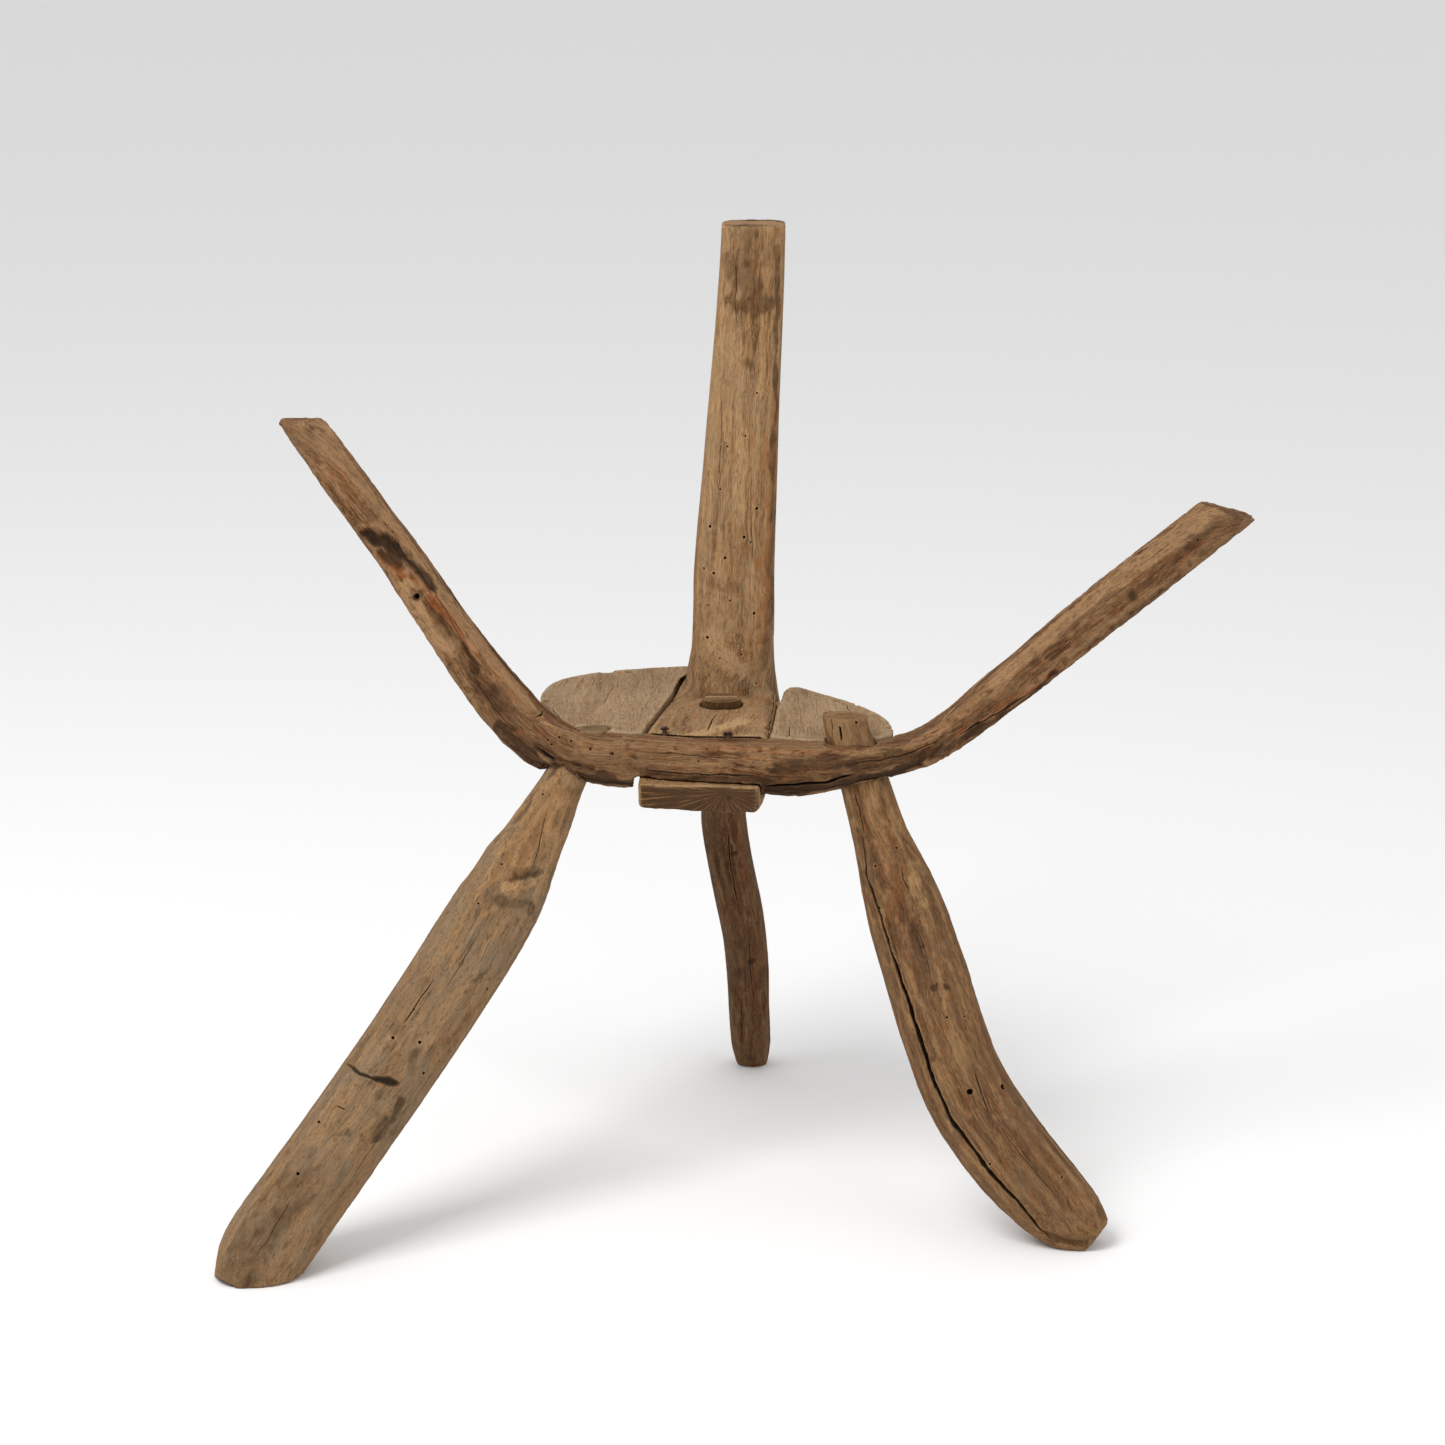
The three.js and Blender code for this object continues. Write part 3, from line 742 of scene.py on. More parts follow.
yoke = rough_out("front_yoke", "yoke_of_bent_branch")
even_skin(yoke, 1.6)
yoke_line = middle_line(yoke, X, -352, 386, 44)
yoke_colours = (
    (0.325, 0.186, 0.09),
    (0.148, 0.065, 0.025),
    (0.038, 0.017, 0.0075),
    (0.165, 0.104, 0.055),
    (0.235, 0.07, 0.02),
)
yoke_wood = weathered_wood(
    "yoke_wood", yoke_colours, greying=0.3, streaks=1.45, grime=0.7, end_dirt=0.1, relief=0.9
)
weather(
    yoke,
    "front_yoke",
    yoke_line,
    (0, 1, 0),
    bores=[
        ([(-250, -23, 468)], 2.0, 6),
        ([
            (-147, -68, 363), (-141, -68, 369), (-150, -66, 366), (-132, -72, 367),
            (-100, -82, 360), (-117, -77, 362),
        ], 0.9, 3),
        ([
            (-29, -96, 368), (-20, -96, 368), (-35, -98, 358), (244, -45, 438), (345, -10, 509),
        ], 0.7, 2),
    ],
    cracks=[
        ([(-159, -59, 382), (-155, -57, 385), (-152, -45, 384)], 1.2, 2.5),
        ([(-284, 15, 547), (-276, 16, 536), (-269, 17, 527)], 2.4, 2.5),
        ([(-149, -53, 382), (-132, -57, 373), (-110, -59, 370)], 1.4, 2.5),
        ([(-158, -65, 360), (-145, -69, 351), (-125, -75, 347)], 2.2, 2.5),
        ([(14, -102, 339), (36, -104, 341), (61, -106, 344), (79, -106, 349)], 2.6, 5),
        ([(-79, -89, 349), (-34, -99, 348), (10, -102, 347)], 1.0, 1.8),
        ([(-209, -40, 416), (-201, -45, 402), (-188, -51, 384), (-174, -58, 371)], 0.8, 1),
        ([(-235, -25, 470), (-226, -29, 456), (-214, -36, 433), (-208, -40, 416)], 0.7, 0.8),
        ([(-72, -91, 364), (-34, -98, 362), (-4, -101, 361)], 0.8, 1.0),
        ([(330, -12, 514), (339, -12, 507)], 1.2, 2),
        ([(162, -76, 373), (193, -65, 388), (224, -54, 404)], 1.2, 1.6),
        ([(78, -106, 358), (116, -98, 362), (147, -82, 370)], 1.0, 1.4),
    ],
    hollows=[
        ([
            (-288, -10, 513), (-275, -12, 510), (-262, -15, 502), (-250, -18, 492),
            (-237, -22, 478),
        ], 15, 3.8),
        ([(-278, -14, 500), (-262, -18, 491)], 12, 1.8),
        ([(-250, -23, 468)], 11, 1.6),
        ([(-155, -65, 360), (-140, -71, 349), (-117, -77, 347)], 9, 1.4),
        ([(-88, -85, 367), (-84, -88, 358), (-85, -87, 349)], 9, 0.6),
        ([(-152, -66, 342), (-131, -73, 338), (-110, -77, 334), (-90, -83, 334)], 13, 2.4),
        ([
            (17, -100, 333), (41, -102, 333), (71, -103, 337), (100, -101, 344), (132, -90, 351),
        ], 13, 2.6),
        ([(275, -32, 473)], 14, 1.3),
        ([(295, -28, 469)], 12, 1.2),
        ([(249, -42, 451)], 13, 1.2),
        ([(243, -45, 437), (231, -49, 428)], 11, 1.2),
        ([(221, -52, 425)], 12, 1),
        ([(234, -50, 412)], 10, 1.6),
        ([(361, 22, 530), (389, 25, 521)], 7, 0.9),
        ([(-213, -37, 428), (-205, -41, 413)], 9, 1.2),
    ],
    stains_and_shade=[
        ([
            (-290, -9, 514), (-275, -13, 509), (-261, -16, 502), (-249, -19, 491),
            (-236, -22, 478),
        ], 18, 0.85),
        ([(-278, -14, 500), (-262, -17, 492)], 12, 0.6),
        ([(-250, -23, 468)], 9, 0.75),
        ([(-289, -6, 535), (-284, -8, 528)], 16, 0.35),
        ([(-214, -36, 433), (-201, -45, 402), (-186, -52, 385)], 13, 0.6),
        ([(-186, -48, 401), (-177, -54, 385)], 17, 0.5),
        # Painted shade: this patch darkens the left underside along the lower front arris.
        ([
            (-186, -55, 371), (-167, -63, 352), (-152, -67, 343), (-117, -77, 338),
            (-88, -85, 336),
        ], 21, 1),
        ([(-159, -64, 360), (-145, -69, 351), (-124, -76, 348)], 8, 0.6),
        # Painted shade: this patch darkens the crossbar's underside along the lower front arris.
        ([
            (16, -101, 336), (41, -103, 336), (71, -105, 341), (101, -102, 346), (132, -91, 353),
        ], 22, 1),
        ([(26, -103, 357), (63, -106, 360), (94, -104, 357), (124, -94, 362)], 20, 0.6),
        ([(116, -98, 353), (162, -77, 368), (201, -61, 387), (229, -50, 405)], 14, 0.65),
        ([(234, -50, 412)], 12, 0.85),
        ([(266, -35, 466), (276, -31, 473), (288, -29, 476)], 11, 0.5),
        ([(291, -30, 466), (300, -26, 472), (310, -23, 481)], 9, 0.45),
        ([(239, -45, 444), (250, -41, 452), (263, -36, 463)], 10, 0.5),
        ([(262, -41, 432), (293, -30, 454), (324, -19, 477)], 12, 0.45),
        ([(-79, -89, 347), (-34, -99, 345), (10, -102, 344)], 12, 0.6),
        ([(339, -12, 506), (358, -5, 520), (374, 4, 525)], 26, 0.5),
        ([(-155, -65, 362), (-117, -77, 352), (-79, -89, 353)], 18, 0.4),
        ([(-323, 5, 574), (-304, -2, 545), (-293, -6, 530)], 20, 0.25),
        ([(-232, -30, 449), (-209, -40, 416), (-186, -52, 385)], 22, 0.5),
        ([(221, -52, 425), (208, -57, 415)], 12, 0.4),
        ([(345, -11, 501)], 7, 0.45),
        ([(313, -18, 501)], 12, 0.4),
        ([(-100, -82, 360)], 5, 0.6),
    ],
    reds=[
        ([(-275, -15, 493), (-261, -19, 485), (-247, -22, 479), (-232, -27, 461)], 13, 1),
        ([(-229, -28, 460), (-215, -34, 440), (-204, -39, 426)], 11, 1),
        ([(-209, -35, 437), (-182, -49, 401), (-167, -57, 384)], 5, 0.7),
        ([(-41, -93, 369), (-4, -97, 368), (41, -102, 367), (71, -105, 367)], 7, 0.7),
        ([(193, -65, 388), (216, -57, 403), (235, -50, 415)], 10, 0.75),
        ([(139, -82, 375), (193, -60, 410), (254, -38, 459), (327, -10, 515)], 4, 0.7),
        ([(370, -2, 523), (331, -16, 491)], 7, 0.5),
        ([(-316, 4, 572), (-301, -2, 546)], 18, 0.35),
    ],
    bare=[
        ([(-342, 11, 595), (-334, 9, 587)], 16, 0.5),
        ([(-260, -21, 474), (-239, -29, 445), (-222, -35, 429)], 19, 0.95),
        ([
            (-288, 23, 551), (-259, 12, 514), (-225, -5, 469), (-187, -28, 419),
            (-159, -51, 390),
        ], 8, 0.55),
        ([(-129, -74, 359), (-94, -84, 354), (-34, -99, 358), (11, -102, 356)], 16, 0.4),
        ([(-151, -62, 379), (-110, -68, 370), (-49, -85, 370)], 6, 0.6),
        ([(-126, -51, 372), (-109, -53, 370)], 4, 0.6),
        ([(128, -83, 372), (179, -39, 406), (241, -18, 455), (317, 2, 510)], 7, 0.6),
        ([(353, 22, 532), (381, 25, 524)], 8, 0.6),
        ([(258, -42, 438), (277, -35, 452)], 16, 0.35),
    ],
    hewing=[(190, 1.0, 52, 22, 0, 1200)],
    # The paleness these flats get is partly painted light on the upward faces, partly weathered
    # grey.
    flats=[(-60, 345, -24, 15.4, 19.0), (655, 945, -34, 15.9, 15.4)],
    swell=0.5,
    chipping=1.0,
    seed=23,
)
fit(yoke, yoke_wood, "front_yoke")

# ----------------------------------------
# The seat boards: two dry, greyed slabs laid flush with the foot and let into the yoke's back
# edge. Their grain runs from front to back, and their back edges are split and chipped.

board_colours = (
    (0.41, 0.285, 0.168),
    (0.31, 0.203, 0.112),
    (0.12, 0.068, 0.034),
    (0.285, 0.205, 0.128),
    (0.27, 0.125, 0.048),
)
board_wood = weathered_wood(
    "board_wood", board_colours, greying=0.5, streaks=0.8, grime=0.2, end_dirt=0.4
)


def straight_grain(node):
    """A grain line from front to back through the middle of a board."""
    low, high = (np.array(corner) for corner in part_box(node))
    middle = (low + high) / 2
    return np.array([[middle[0], y, middle[2]] for y in np.linspace(low[1], high[1], 6)])


left_board = rough_out("left_board", "seat_board_left")
even_skin(left_board, 1.3, 1)
weather(
    left_board,
    "left_board",
    straight_grain("left_board"),
    (0, 0, 1),
    bores=[([(-121, 42, 370), (-82, 74, 370), (-133, 5, 370)], 0.7, 2)],
    cracks=[
        ([(-104, 87, 370), (-107, 58, 370), (-111, 30, 370)], 0.7, 1.2),
        ([(-79, 133, 370), (-88, 74, 370), (-98, 11, 370)], 0.45, 0.8),
        ([(-127, 120, 370), (-135, 68, 370), (-143, 20, 370)], 0.45, 0.8),
        ([(-65, 120, 370), (-72, 61, 370), (-81, -5, 370)], 0.45, 0.8),
        ([(-115, 133, 370), (-122, 81, 370)], 0.6, 1),
        ([(-149, 17, 370), (-142, -14, 370)], 1.2, 2),
    ],
    hollows=[
        ([(-112, 136, 370), (-107, 136, 370)], 9, 3),
        ([(-92, 136, 370)], 8, 3),
        ([(-135, 116, 370)], 8, 2),
        ([(-156, 42, 370)], 9, 2),
        ([(-114, 42, 370), (-123, 5, 370)], 14, 0.8),
    ],
    stains_and_shade=[
        ([(-157, 36, 370), (-148, -8, 370)], 9, 0.55),
        ([(-114, 42, 370)], 12, 0.3),
        ([(-128, -26, 370), (-95, -44, 370)], 8, 0.35),
    ],
    reds=[
        ([(-105, 140, 370), (-98, 130, 370)], 8, 0.7),
        ([(-112, 26, 370), (-130, -26, 370)], 12, 0.3),
    ],
    bare=[
        ([(-136, 42, 370), (-122, 90, 370)], 18, 0.3),
        ([(-81, 42, 370), (-74, 74, 370)], 24, 0.3),
    ],
    hewing=[(36, 0.6, 60, 26, 0, 260)],
    swell=0.3,
    chipping=0.2,
    seed=31,
)
fit(left_board, board_wood, "left_board")

right_board = rough_out("right_board", "seat_board_right")
even_skin(right_board, 1.3, 1)
weather(
    right_board,
    "right_board",
    straight_grain("right_board"),
    (0, 0, 1),
    bores=[([(43, 5, 370), (94, -26, 370)], 0.7, 2)],
    cracks=[
        ([(42, 68, 370), (43, 5, 370), (44, -50, 370)], 0.5, 0.8),
        ([(56, 55, 370), (57, -5, 370)], 0.5, 0.7),
        ([(35, -32, 370), (33, -68, 370)], 0.8, 1.8),
        ([(79, 33, 370), (82, 5, 370)], 0.8, 1.8),
    ],
    hollows=[
        ([(72, 42, 370)], 6, 2),
        ([(86, 30, 370)], 6, 2),
        ([(111, -41, 370)], 10, 2.5),
        ([(34, 74, 370)], 6, 1.5),
    ],
    stains_and_shade=[
        ([(108, -68, 368)], 7, 0.5),
        ([(30, -65, 370), (53, -77, 370)], 7, 0.35),
    ],
    reds=[
        ([(107, -26, 370), (110, -67, 369)], 10, 0.6),
    ],
    bare=[
        ([(51, 42, 370), (74, 5, 370)], 26, 0.3),
    ],
    hewing=[(22, 0.5, 60, 26, 0, 200)],
    swell=0.3,
    chipping=0.2,
    seed=37,
)
fit(right_board, board_wood, "right_board")

# ----------------------------------------
# The foot dowels: four short whittled pegs that hold the boards to the crook's foot. They lie
# wholly inside the joint, so the frame's own pieces stay, finished in fresh peg wood.

peg_colours = (
    (0.42, 0.28, 0.16),
    (0.30, 0.18, 0.095),
    (0.14, 0.075, 0.035),
    (0.27, 0.19, 0.12),
    (0.26, 0.12, 0.05),
)
dowel_wood = weathered_wood("dowel_wood", peg_colours, greying=0.1, streaks=0.9, grime=0.15)
dowel_tree = dowel_wood.node_tree
dowel_grain = next(n for n in dowel_tree.nodes if n.type == "GROUP")
for attribute in [n for n in dowel_tree.nodes if n.type == "ATTRIBUTE"]:
    dowel_tree.nodes.remove(attribute)
own_place = add_node(dowel_tree, "ShaderNodeTexCoord", {}).outputs["Object"]
quarter_turn = (0, math.radians(90), 0)
turned = add_node(dowel_tree, "ShaderNodeMapping", {"Vector": own_place, "Rotation": quarter_turn})
dowel_tree.links.new(turned.outputs[0], dowel_grain.inputs["Grain"])
for place_name in ("left_front", "left_rear", "right_front", "right_rear"):
    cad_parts["foot_dowel_" + place_name].material_slots[0].material = dowel_wood

# ----------------------------------------
# The left leg: a stout branch, its bark gone and its skin grey-brown. The top is shaved with a
# knife to a tapered tenon that is driven up through the yoke and cut flush with the seat.

left_leg = rough_out("left_leg", "leg_left_branch")
even_skin(left_leg)
left_leg_line = middle_line(left_leg, Z, 366, 6, 22)
left_leg_colours = (
    (0.37, 0.215, 0.1),
    (0.225, 0.135, 0.066),
    (0.07, 0.04, 0.02),
    (0.2, 0.148, 0.097),
    (0.25, 0.123, 0.05),
)
left_leg_wood = weathered_wood(
    "left_leg_wood",
    left_leg_colours,
    greying=0.65,
    streaks=0.75,
    grime=0.75,
    end_dirt=0.8,
    relief=0.55,
)
weather(
    left_leg,
    "left_leg",
    left_leg_line,
    (0, 1, 0),
    bores=[
        ([
            (-262, -181, 168), (-242, -180, 164), (-193, -148, 195), (-239, -184, 141),
            (-316, -209, 112), (-330, -230, 79),
        ], 1.2, 4),
        ([
            (-188, -140, 192), (-247, -171, 187), (-368, -237, 52), (-200, -131, 257),
            (-153, -81, 328), (-183, -115, 284), (-228, -174, 147),
        ], 0.8, 3),
    ],
    cracks=[
        ([(-232, -159, 207), (-247, -170, 188), (-255, -176, 176)], 0.9, 2),
        ([(-149, -89, 316), (-154, -101, 298), (-158, -112, 280)], 0.8, 1.6),
        ([(-303, -205, 123), (-296, -208, 121)], 1.0, 1.5),
        ([(-206, -159, 181), (-217, -167, 165), (-223, -172, 155)], 0.8, 1.2),
        ([(-198, -141, 239), (-211, -153, 218), (-224, -163, 199)], 0.6, 1),
        ([(-335, -240, 62), (-348, -251, 41), (-358, -257, 26)], 0.7, 1.2),
        ([(-264, -202, 111), (-282, -215, 84), (-300, -227, 57)], 0.6, 1),
        ([(-298, -176, 147), (-286, -193, 144), (-274, -197, 141), (-260, -195, 137)], 3.0, 1.6),
        ([(-278, -196, 142), (-266, -196, 139), (-256, -194, 136)], 6.8, 2),
    ],
    hollows=[
        ([(-171, -119, 275), (-157, -112, 277)], 9, 1.6),
        ([(-337, -244, 53), (-344, -250, 41)], 12, 1),
    ],
    stains_and_shade=[
        ([(-184, -130, 259), (-162, -123, 253)], 16, 0.6),
        ([(-175, -121, 272), (-163, -116, 276), (-152, -110, 275)], 6, 0.55),
        ([(-237, -159, 208), (-250, -166, 193)], 15, 0.45),
        ([(-259, -177, 175), (-253, -178, 173)], 15, 0.45),
        ([(-244, -183, 158), (-249, -190, 144)], 12, 0.5),
        ([(-256, -196, 126), (-262, -201, 110)], 12, 0.7),
        ([(-266, -204, 110), (-272, -208, 100)], 13, 0.7),
        ([(-294, -215, 105)], 12, 0.5),
        ([(-271, -201, 130)], 12, 0.5),
        ([(-314, -228, 84)], 13, 0.5),
        ([(-339, -213, 91)], 9, 0.45),
        ([(-305, -228, 76)], 9, 0.4),
        ([(-337, -244, 53), (-344, -251, 39)], 11, 0.45),
        ([(-374, -255, 26)], 15, 0.4),
        ([(-364, -259, 7)], 16, 0.6),
        ([(-328, -233, 75), (-355, -250, 43), (-375, -257, 14)], 60, 0.5),
        ([(-135, -78, 329), (-127, -72, 326)], 14, 0.4),
        ([(-287, -172, 159)], 8, 0.4),
    ],
    reds=[
        ([(-222, -172, 163), (-206, -159, 181)], 10, 0.55),
        ([(-140, -82, 324), (-160, -102, 300), (-178, -117, 282)], 44, 0.75),
        ([(-337, -244, 53), (-344, -251, 39)], 14, 0.4),
    ],
    bare=[
        ([(-162, -88, 317), (-181, -109, 292), (-190, -119, 278)], 20, 0.35),
        ([(-140, -82, 324), (-151, -103, 290)], 18, 0.4),
        ([(-236, -134, 229), (-258, -149, 199)], 20, 0.35),
        ([(-330, -203, 103), (-355, -228, 69)], 26, 0.3),
        ([(-180, -125, 267), (-158, -116, 268)], 10, 0.7),
    ],
    hewing=[(34, 2.4, 40, 24, 0, 140), (60, 0.6, 70, 26, 145, 600)],
    swell=0.4,
    seed=41,
)
fit(left_leg, left_leg_wood, "left_leg")

# ----------------------------------------
# The right leg: a bent branch hewn roughly round, with a long drying split down its left side.
# Its tenon passes through the yoke and stands proud of the seat, its end frayed.

right_leg = rough_out("right_leg", "leg_right_branch")
even_skin(right_leg)
right_leg_line = middle_line(right_leg, Z, 384, 6, 24)
right_leg_colours = (
    (0.33, 0.19, 0.085),
    (0.15, 0.074, 0.031),
    (0.045, 0.021, 0.01),
    (0.125, 0.078, 0.046),
    (0.2, 0.066, 0.021),
)
right_leg_wood = weathered_wood(
    "right_leg_wood", right_leg_colours, greying=0.4, streaks=1.0, grime=0.4, end_dirt=0.1
)
long_split = [
    (86, -108, 303), (90, -115, 276), (101, -129, 243), (111, -139, 215), (124, -149, 179),
    (133, -156, 152), (141, -162, 126), (154, -168, 99), (169, -174, 79), (184, -179, 60),
    (204, -184, 38), (220, -186, 19), (231, -186, 8),
]
weather(
    right_leg,
    "right_leg",
    right_leg_line,
    (0, 1, 0),
    bores=[
        ([(194, -162, 123), (168, -169, 121)], 2.2, 7),
        ([
            (114, -115, 296), (100, -127, 252), (151, -155, 175), (165, -152, 175),
            (183, -179, 67), (238, -181, 58), (97, -118, 282), (84, -85, 385),
        ], 0.9, 3),
    ],
    cracks=[
        (long_split, 3.3, 6),
        ([(81, -99, 336), (86, -104, 320), (89, -109, 304)], 1.0, 2),
        ([(118, -122, 282), (118, -125, 274), (123, -128, 265)], 0.8, 1.4),
        ([(172, -164, 137), (179, -170, 115), (183, -173, 107)], 1.0, 1.6),
        ([(71, -77, 388), (71, -86, 381), (72, -89, 372)], 1.4, 4),
        ([(65, -83, 388), (65, -85, 373)], 0.8, 2),
        ([(127, -135, 245), (135, -142, 220), (140, -148, 198)], 0.6, 1),
        ([(191, -176, 94), (213, -182, 68), (236, -188, 42)], 0.6, 1),
    ],
    hollows=[
        ([(225, -187, 14), (255, -188, 6)], 8, 1.5),
        ([(131, -129, 261)], 16, 1),
    ],
    stains_and_shade=[
        ([(131, -141, 226)], 7, 0.6),
        ([(141, -149, 196)], 9, 0.6),
        ([(151, -148, 197)], 7, 0.6),
        ([(153, -151, 186)], 7, 0.55),
        ([(129, -144, 213), (135, -151, 187), (142, -155, 169)], 18, 0.3),
        ([(176, -153, 157), (183, -163, 132)], 18, 0.3),
        ([(139, -159, 144)], 7, 0.5),
        ([(137, -158, 121)], 8, 0.55),
        ([(79, -99, 328), (88, -108, 307)], 16, 0.4),
        ([(229, -187, 14), (263, -188, 10)], 14, 0.4),
        ([(168, -169, 121), (174, -171, 111)], 9, 0.45),
        ([(213, -179, 79), (225, -181, 68)], 16, 0.3),
    ],
    reds=[
        ([(105, -114, 298), (109, -124, 273), (112, -133, 248)], 26, 0.45),
        ([(116, -136, 238), (127, -146, 202)], 16, 0.35),
        ([(90, -86, 376)], 14, 0.5),
    ],
    bare=[
        ([(125, -125, 273), (135, -130, 255)], 17, 0.55),
        ([(113, -102, 320), (116, -107, 307)], 16, 0.45),
        ([(153, -157, 166), (165, -164, 141)], 22, 0.35),
        ([(142, -161, 136), (165, -171, 107)], 18, 0.35),
        ([(188, -176, 93)], 18, 0.3),
        ([(63, -71, 388), (78, -62, 388), (91, -68, 388)], 9, 0.9),
        ([(68, -85, 385), (75, -90, 369)], 34, 0.5),
    ],
    hewing=[(40, 1.6, 50, 26, 30, 230), (50, 1.0, 66, 28, 230, 600)],
    swell=0.45,
    seed=53,
)
fit(right_leg, right_leg_wood, "right_leg")

# ----------------------------------------
# The rear leg: a thinner, darker stick with a kink and the stubs of small twigs. Its tenon is
# driven up through the crook's foot, where a wedge spreads it.

rear_leg = rough_out("rear_leg", "leg_rear_stick")
even_skin(rear_leg, 1.2)
rear_leg_line = middle_line(rear_leg, Z, 372, 6, 22)
rear_leg_colours = (
    (0.24, 0.14, 0.062),
    (0.09, 0.038, 0.015),
    (0.028, 0.012, 0.006),
    (0.085, 0.05, 0.027),
    (0.13, 0.042, 0.014),
)
rear_leg_wood = weathered_wood(
    "rear_leg_wood", rear_leg_colours, greying=0.35, streaks=1.1, grime=0.4, end_dirt=0.1
)
weather(
    rear_leg,
    "rear_leg",
    rear_leg_line,
    (0, 1, 0),
    bores=[([(-7, 203, 53), (2, 179, 87)], 0.8, 2)],
    cracks=[
        ([(-13, 80, 253), (-10, 105, 213), (-4, 125, 177)], 1.0, 1.8),
        ([(4, 141, 151), (6, 166, 109), (10, 193, 65)], 0.8, 1.4),
        ([(-2, 187, 76), (-1, 214, 31)], 0.8, 1.2),
    ],
    hollows=[([(-7, 96, 228)], 9, 1), ([(6, 161, 116)], 9, 1)],
    stains_and_shade=[
        ([(-7, 96, 228)], 10, 0.6),
        ([(6, 161, 116)], 9, 0.6),
        ([(-25, 76, 263), (-15, 110, 203)], 14, 0.35),
        ([(2, 224, 15), (10, 232, 4)], 18, 0.4),
    ],
    reds=[
        ([(-3, 85, 252), (1, 119, 192)], 14, 0.6),
        ([(7, 142, 151), (14, 195, 64)], 14, 0.5),
    ],
    bare=[
        ([(1, 114, 202), (5, 136, 161)], 10, 0.3),
        ([(-30, 22, 376), (-17, 25, 376), (-6, 28, 376)], 14, 1),
    ],
    hewing=[(60, 0.8, 44, 16, 0, 500)],
    swell=0.4,
    seed=61,
)
fit(rear_leg, rear_leg_wood, "rear_leg")

# ----------------------------------------
# The tenon wedge: a split sliver of pale wood, driven across the rear leg's tenon from above
# until its top is level with it.

wedge = rough_out("rear_tenon_wedge", "wedge_split_sliver")
even_skin(wedge, 0.4, 2)
wedge_low, wedge_high = (np.array(corner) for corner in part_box("rear_tenon_wedge"))
wedge_middle = (wedge_low + wedge_high) / 2
wedge_line = np.array(
    [[wedge_middle[0], wedge_middle[1], z] for z in np.linspace(wedge_high[2], wedge_low[2], 5)]
)
wedge_wood = weathered_wood(
    "wedge_wood", peg_colours, greying=0.2, streaks=0.9, grime=0.25, end_dirt=0.1
)
weather(wedge, "rear_tenon_wedge", wedge_line, (0, 1, 0), swell=0.15, seed=71)
fit(wedge, wedge_wood, "rear_tenon_wedge")

# ----------------------------------------
# The lap nails: two forged iron nails driven slanting through the lap of crook and yoke. The
# heads are hammered and uneven, and the iron is brown with old rust.


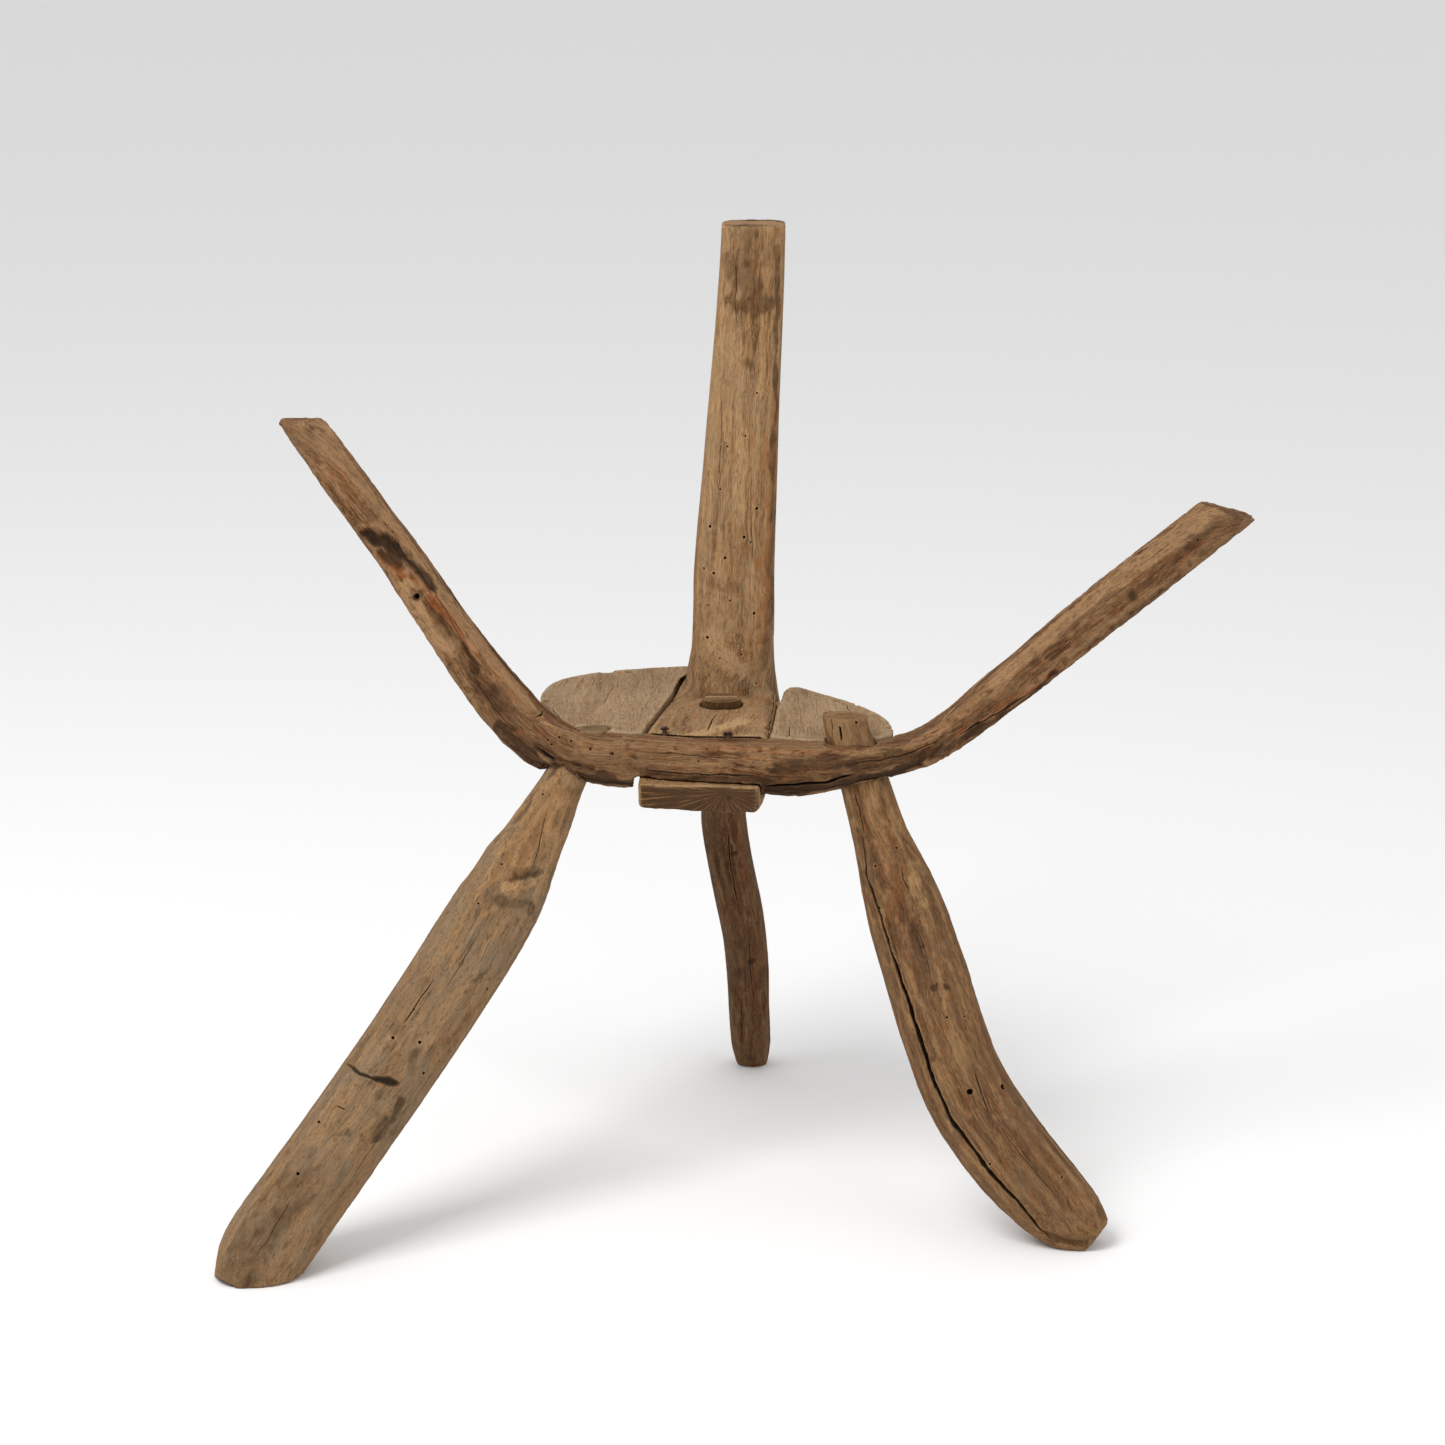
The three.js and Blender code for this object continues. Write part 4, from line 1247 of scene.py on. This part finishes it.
def rusted_iron():
    """Old forged iron: dark scale with brown rust over it, rough and pitted."""
    material = bpy.data.materials.new("nail_iron")
    material.use_nodes = True
    tree = material.node_tree
    tree.nodes.clear()
    place = add_node(tree, "ShaderNodeTexCoord", {}).outputs["Object"]
    blotch = noise(tree, place, (420, 420, 420), 4.0, 0.65)
    pits = noise(tree, place, (1500, 1500, 1500), 3.0, 0.6)
    black, grey_brown = (0.018, 0.013, 0.011, 1), (0.06, 0.038, 0.028, 1)
    scale = blend(tree, remap(tree, pits, 0.3, 0.7), black, grey_brown)
    deep_rust, bright_rust = (0.075, 0.03, 0.014, 1), (0.16, 0.065, 0.028, 1)
    rust = blend(tree, remap(tree, pits, 0.35, 0.65), deep_rust, bright_rust)
    colour = blend(tree, remap(tree, blotch, 0.4, 0.58), scale, rust)
    height = sum_of(tree, (blotch, 0.6), (pits, 0.5))
    inputs = {"Height": height, "Strength": 0.8, "Distance": 0.3 * MM}
    bump = add_node(tree, "ShaderNodeBump", inputs)
    shader = add_node(
        tree,
        "ShaderNodeBsdfPrincipled",
        {
            "Base Color": colour,
            "Roughness": remap(tree, blotch, 0.35, 0.65, 0.5, 0.85),
            "Metallic": remap(tree, blotch, 0.4, 0.58, 0.7, 0.1),
            "Normal": bump.outputs[0],
        },
    )
    add_node(tree, "ShaderNodeOutputMaterial", {"Surface": shader.outputs[0]})
    return material


nail_iron = rusted_iron()
for nail_node, nail_name, nail_seed in (
    ("lap_nail_left", "forged_nail_left", 81),
    ("lap_nail_middle", "forged_nail_middle", 83),
):
    nail = rough_out(nail_node, nail_name)
    even_skin(nail, 0.35, 3)
    nail_points = points_of(nail)
    hammered = unevenness(nail_points * 420, nail_seed)
    hammered += 0.6 * unevenness(nail_points * 900, nail_seed + 1)
    dents = normals_of(nail) * ((hammered - 0.6) * 0.28 * MM)[:, None]
    move_points(nail, nail_points + dents, nail_node)
    nail.data.shade_smooth()
    fit(nail, nail_iron, nail_node)

# ----------------------------------------
# The studio: a plain pale floor, a wide soft lamp above on the left, a weak one on the right
# and a soft white sky. The floor is staging and no part of the piece.

bpy.ops.mesh.primitive_plane_add(size=60, location=(0, 0, 0))
floor = bpy.context.object
floor.name = "studio_floor"
floor_paper = bpy.data.materials.new("floor_paper")
floor_paper.use_nodes = True
paper_shader = floor_paper.node_tree.nodes["Principled BSDF"]
paper_shader.inputs["Base Color"].default_value = (0.9, 0.9, 0.9, 1)
paper_shader.inputs["Roughness"].default_value = 0.9
paper_shader.inputs["Specular IOR Level"].default_value = 0.1
floor.data.materials.append(floor_paper)

sky = bpy.data.worlds.new("studio_sky")
sky.use_nodes = True
sky.node_tree.nodes["Background"].inputs["Color"].default_value = (1, 1, 1, 1)
sky.node_tree.nodes["Background"].inputs["Strength"].default_value = 0.76
bpy.context.scene.world = sky
for lamp_name, lamp_place, lamp_turn, lamp_size, lamp_power in (
    ("key_lamp", (-1.3, -1.6, 3.0), (34, 0, -36), 1.5, 70),
    ("fill_lamp", (2.4, -2.0, 2.0), (55, 0, 50), 2.4, 10),
):
    turn_angles = [math.radians(angle) for angle in lamp_turn]
    bpy.ops.object.light_add(type="AREA", location=lamp_place, rotation=turn_angles)
    lamp = bpy.context.object
    lamp.name = lamp_name
    lamp.data.size = lamp_size
    lamp.data.energy = lamp_power
bpy.context.scene.view_settings.view_transform = "Standard"
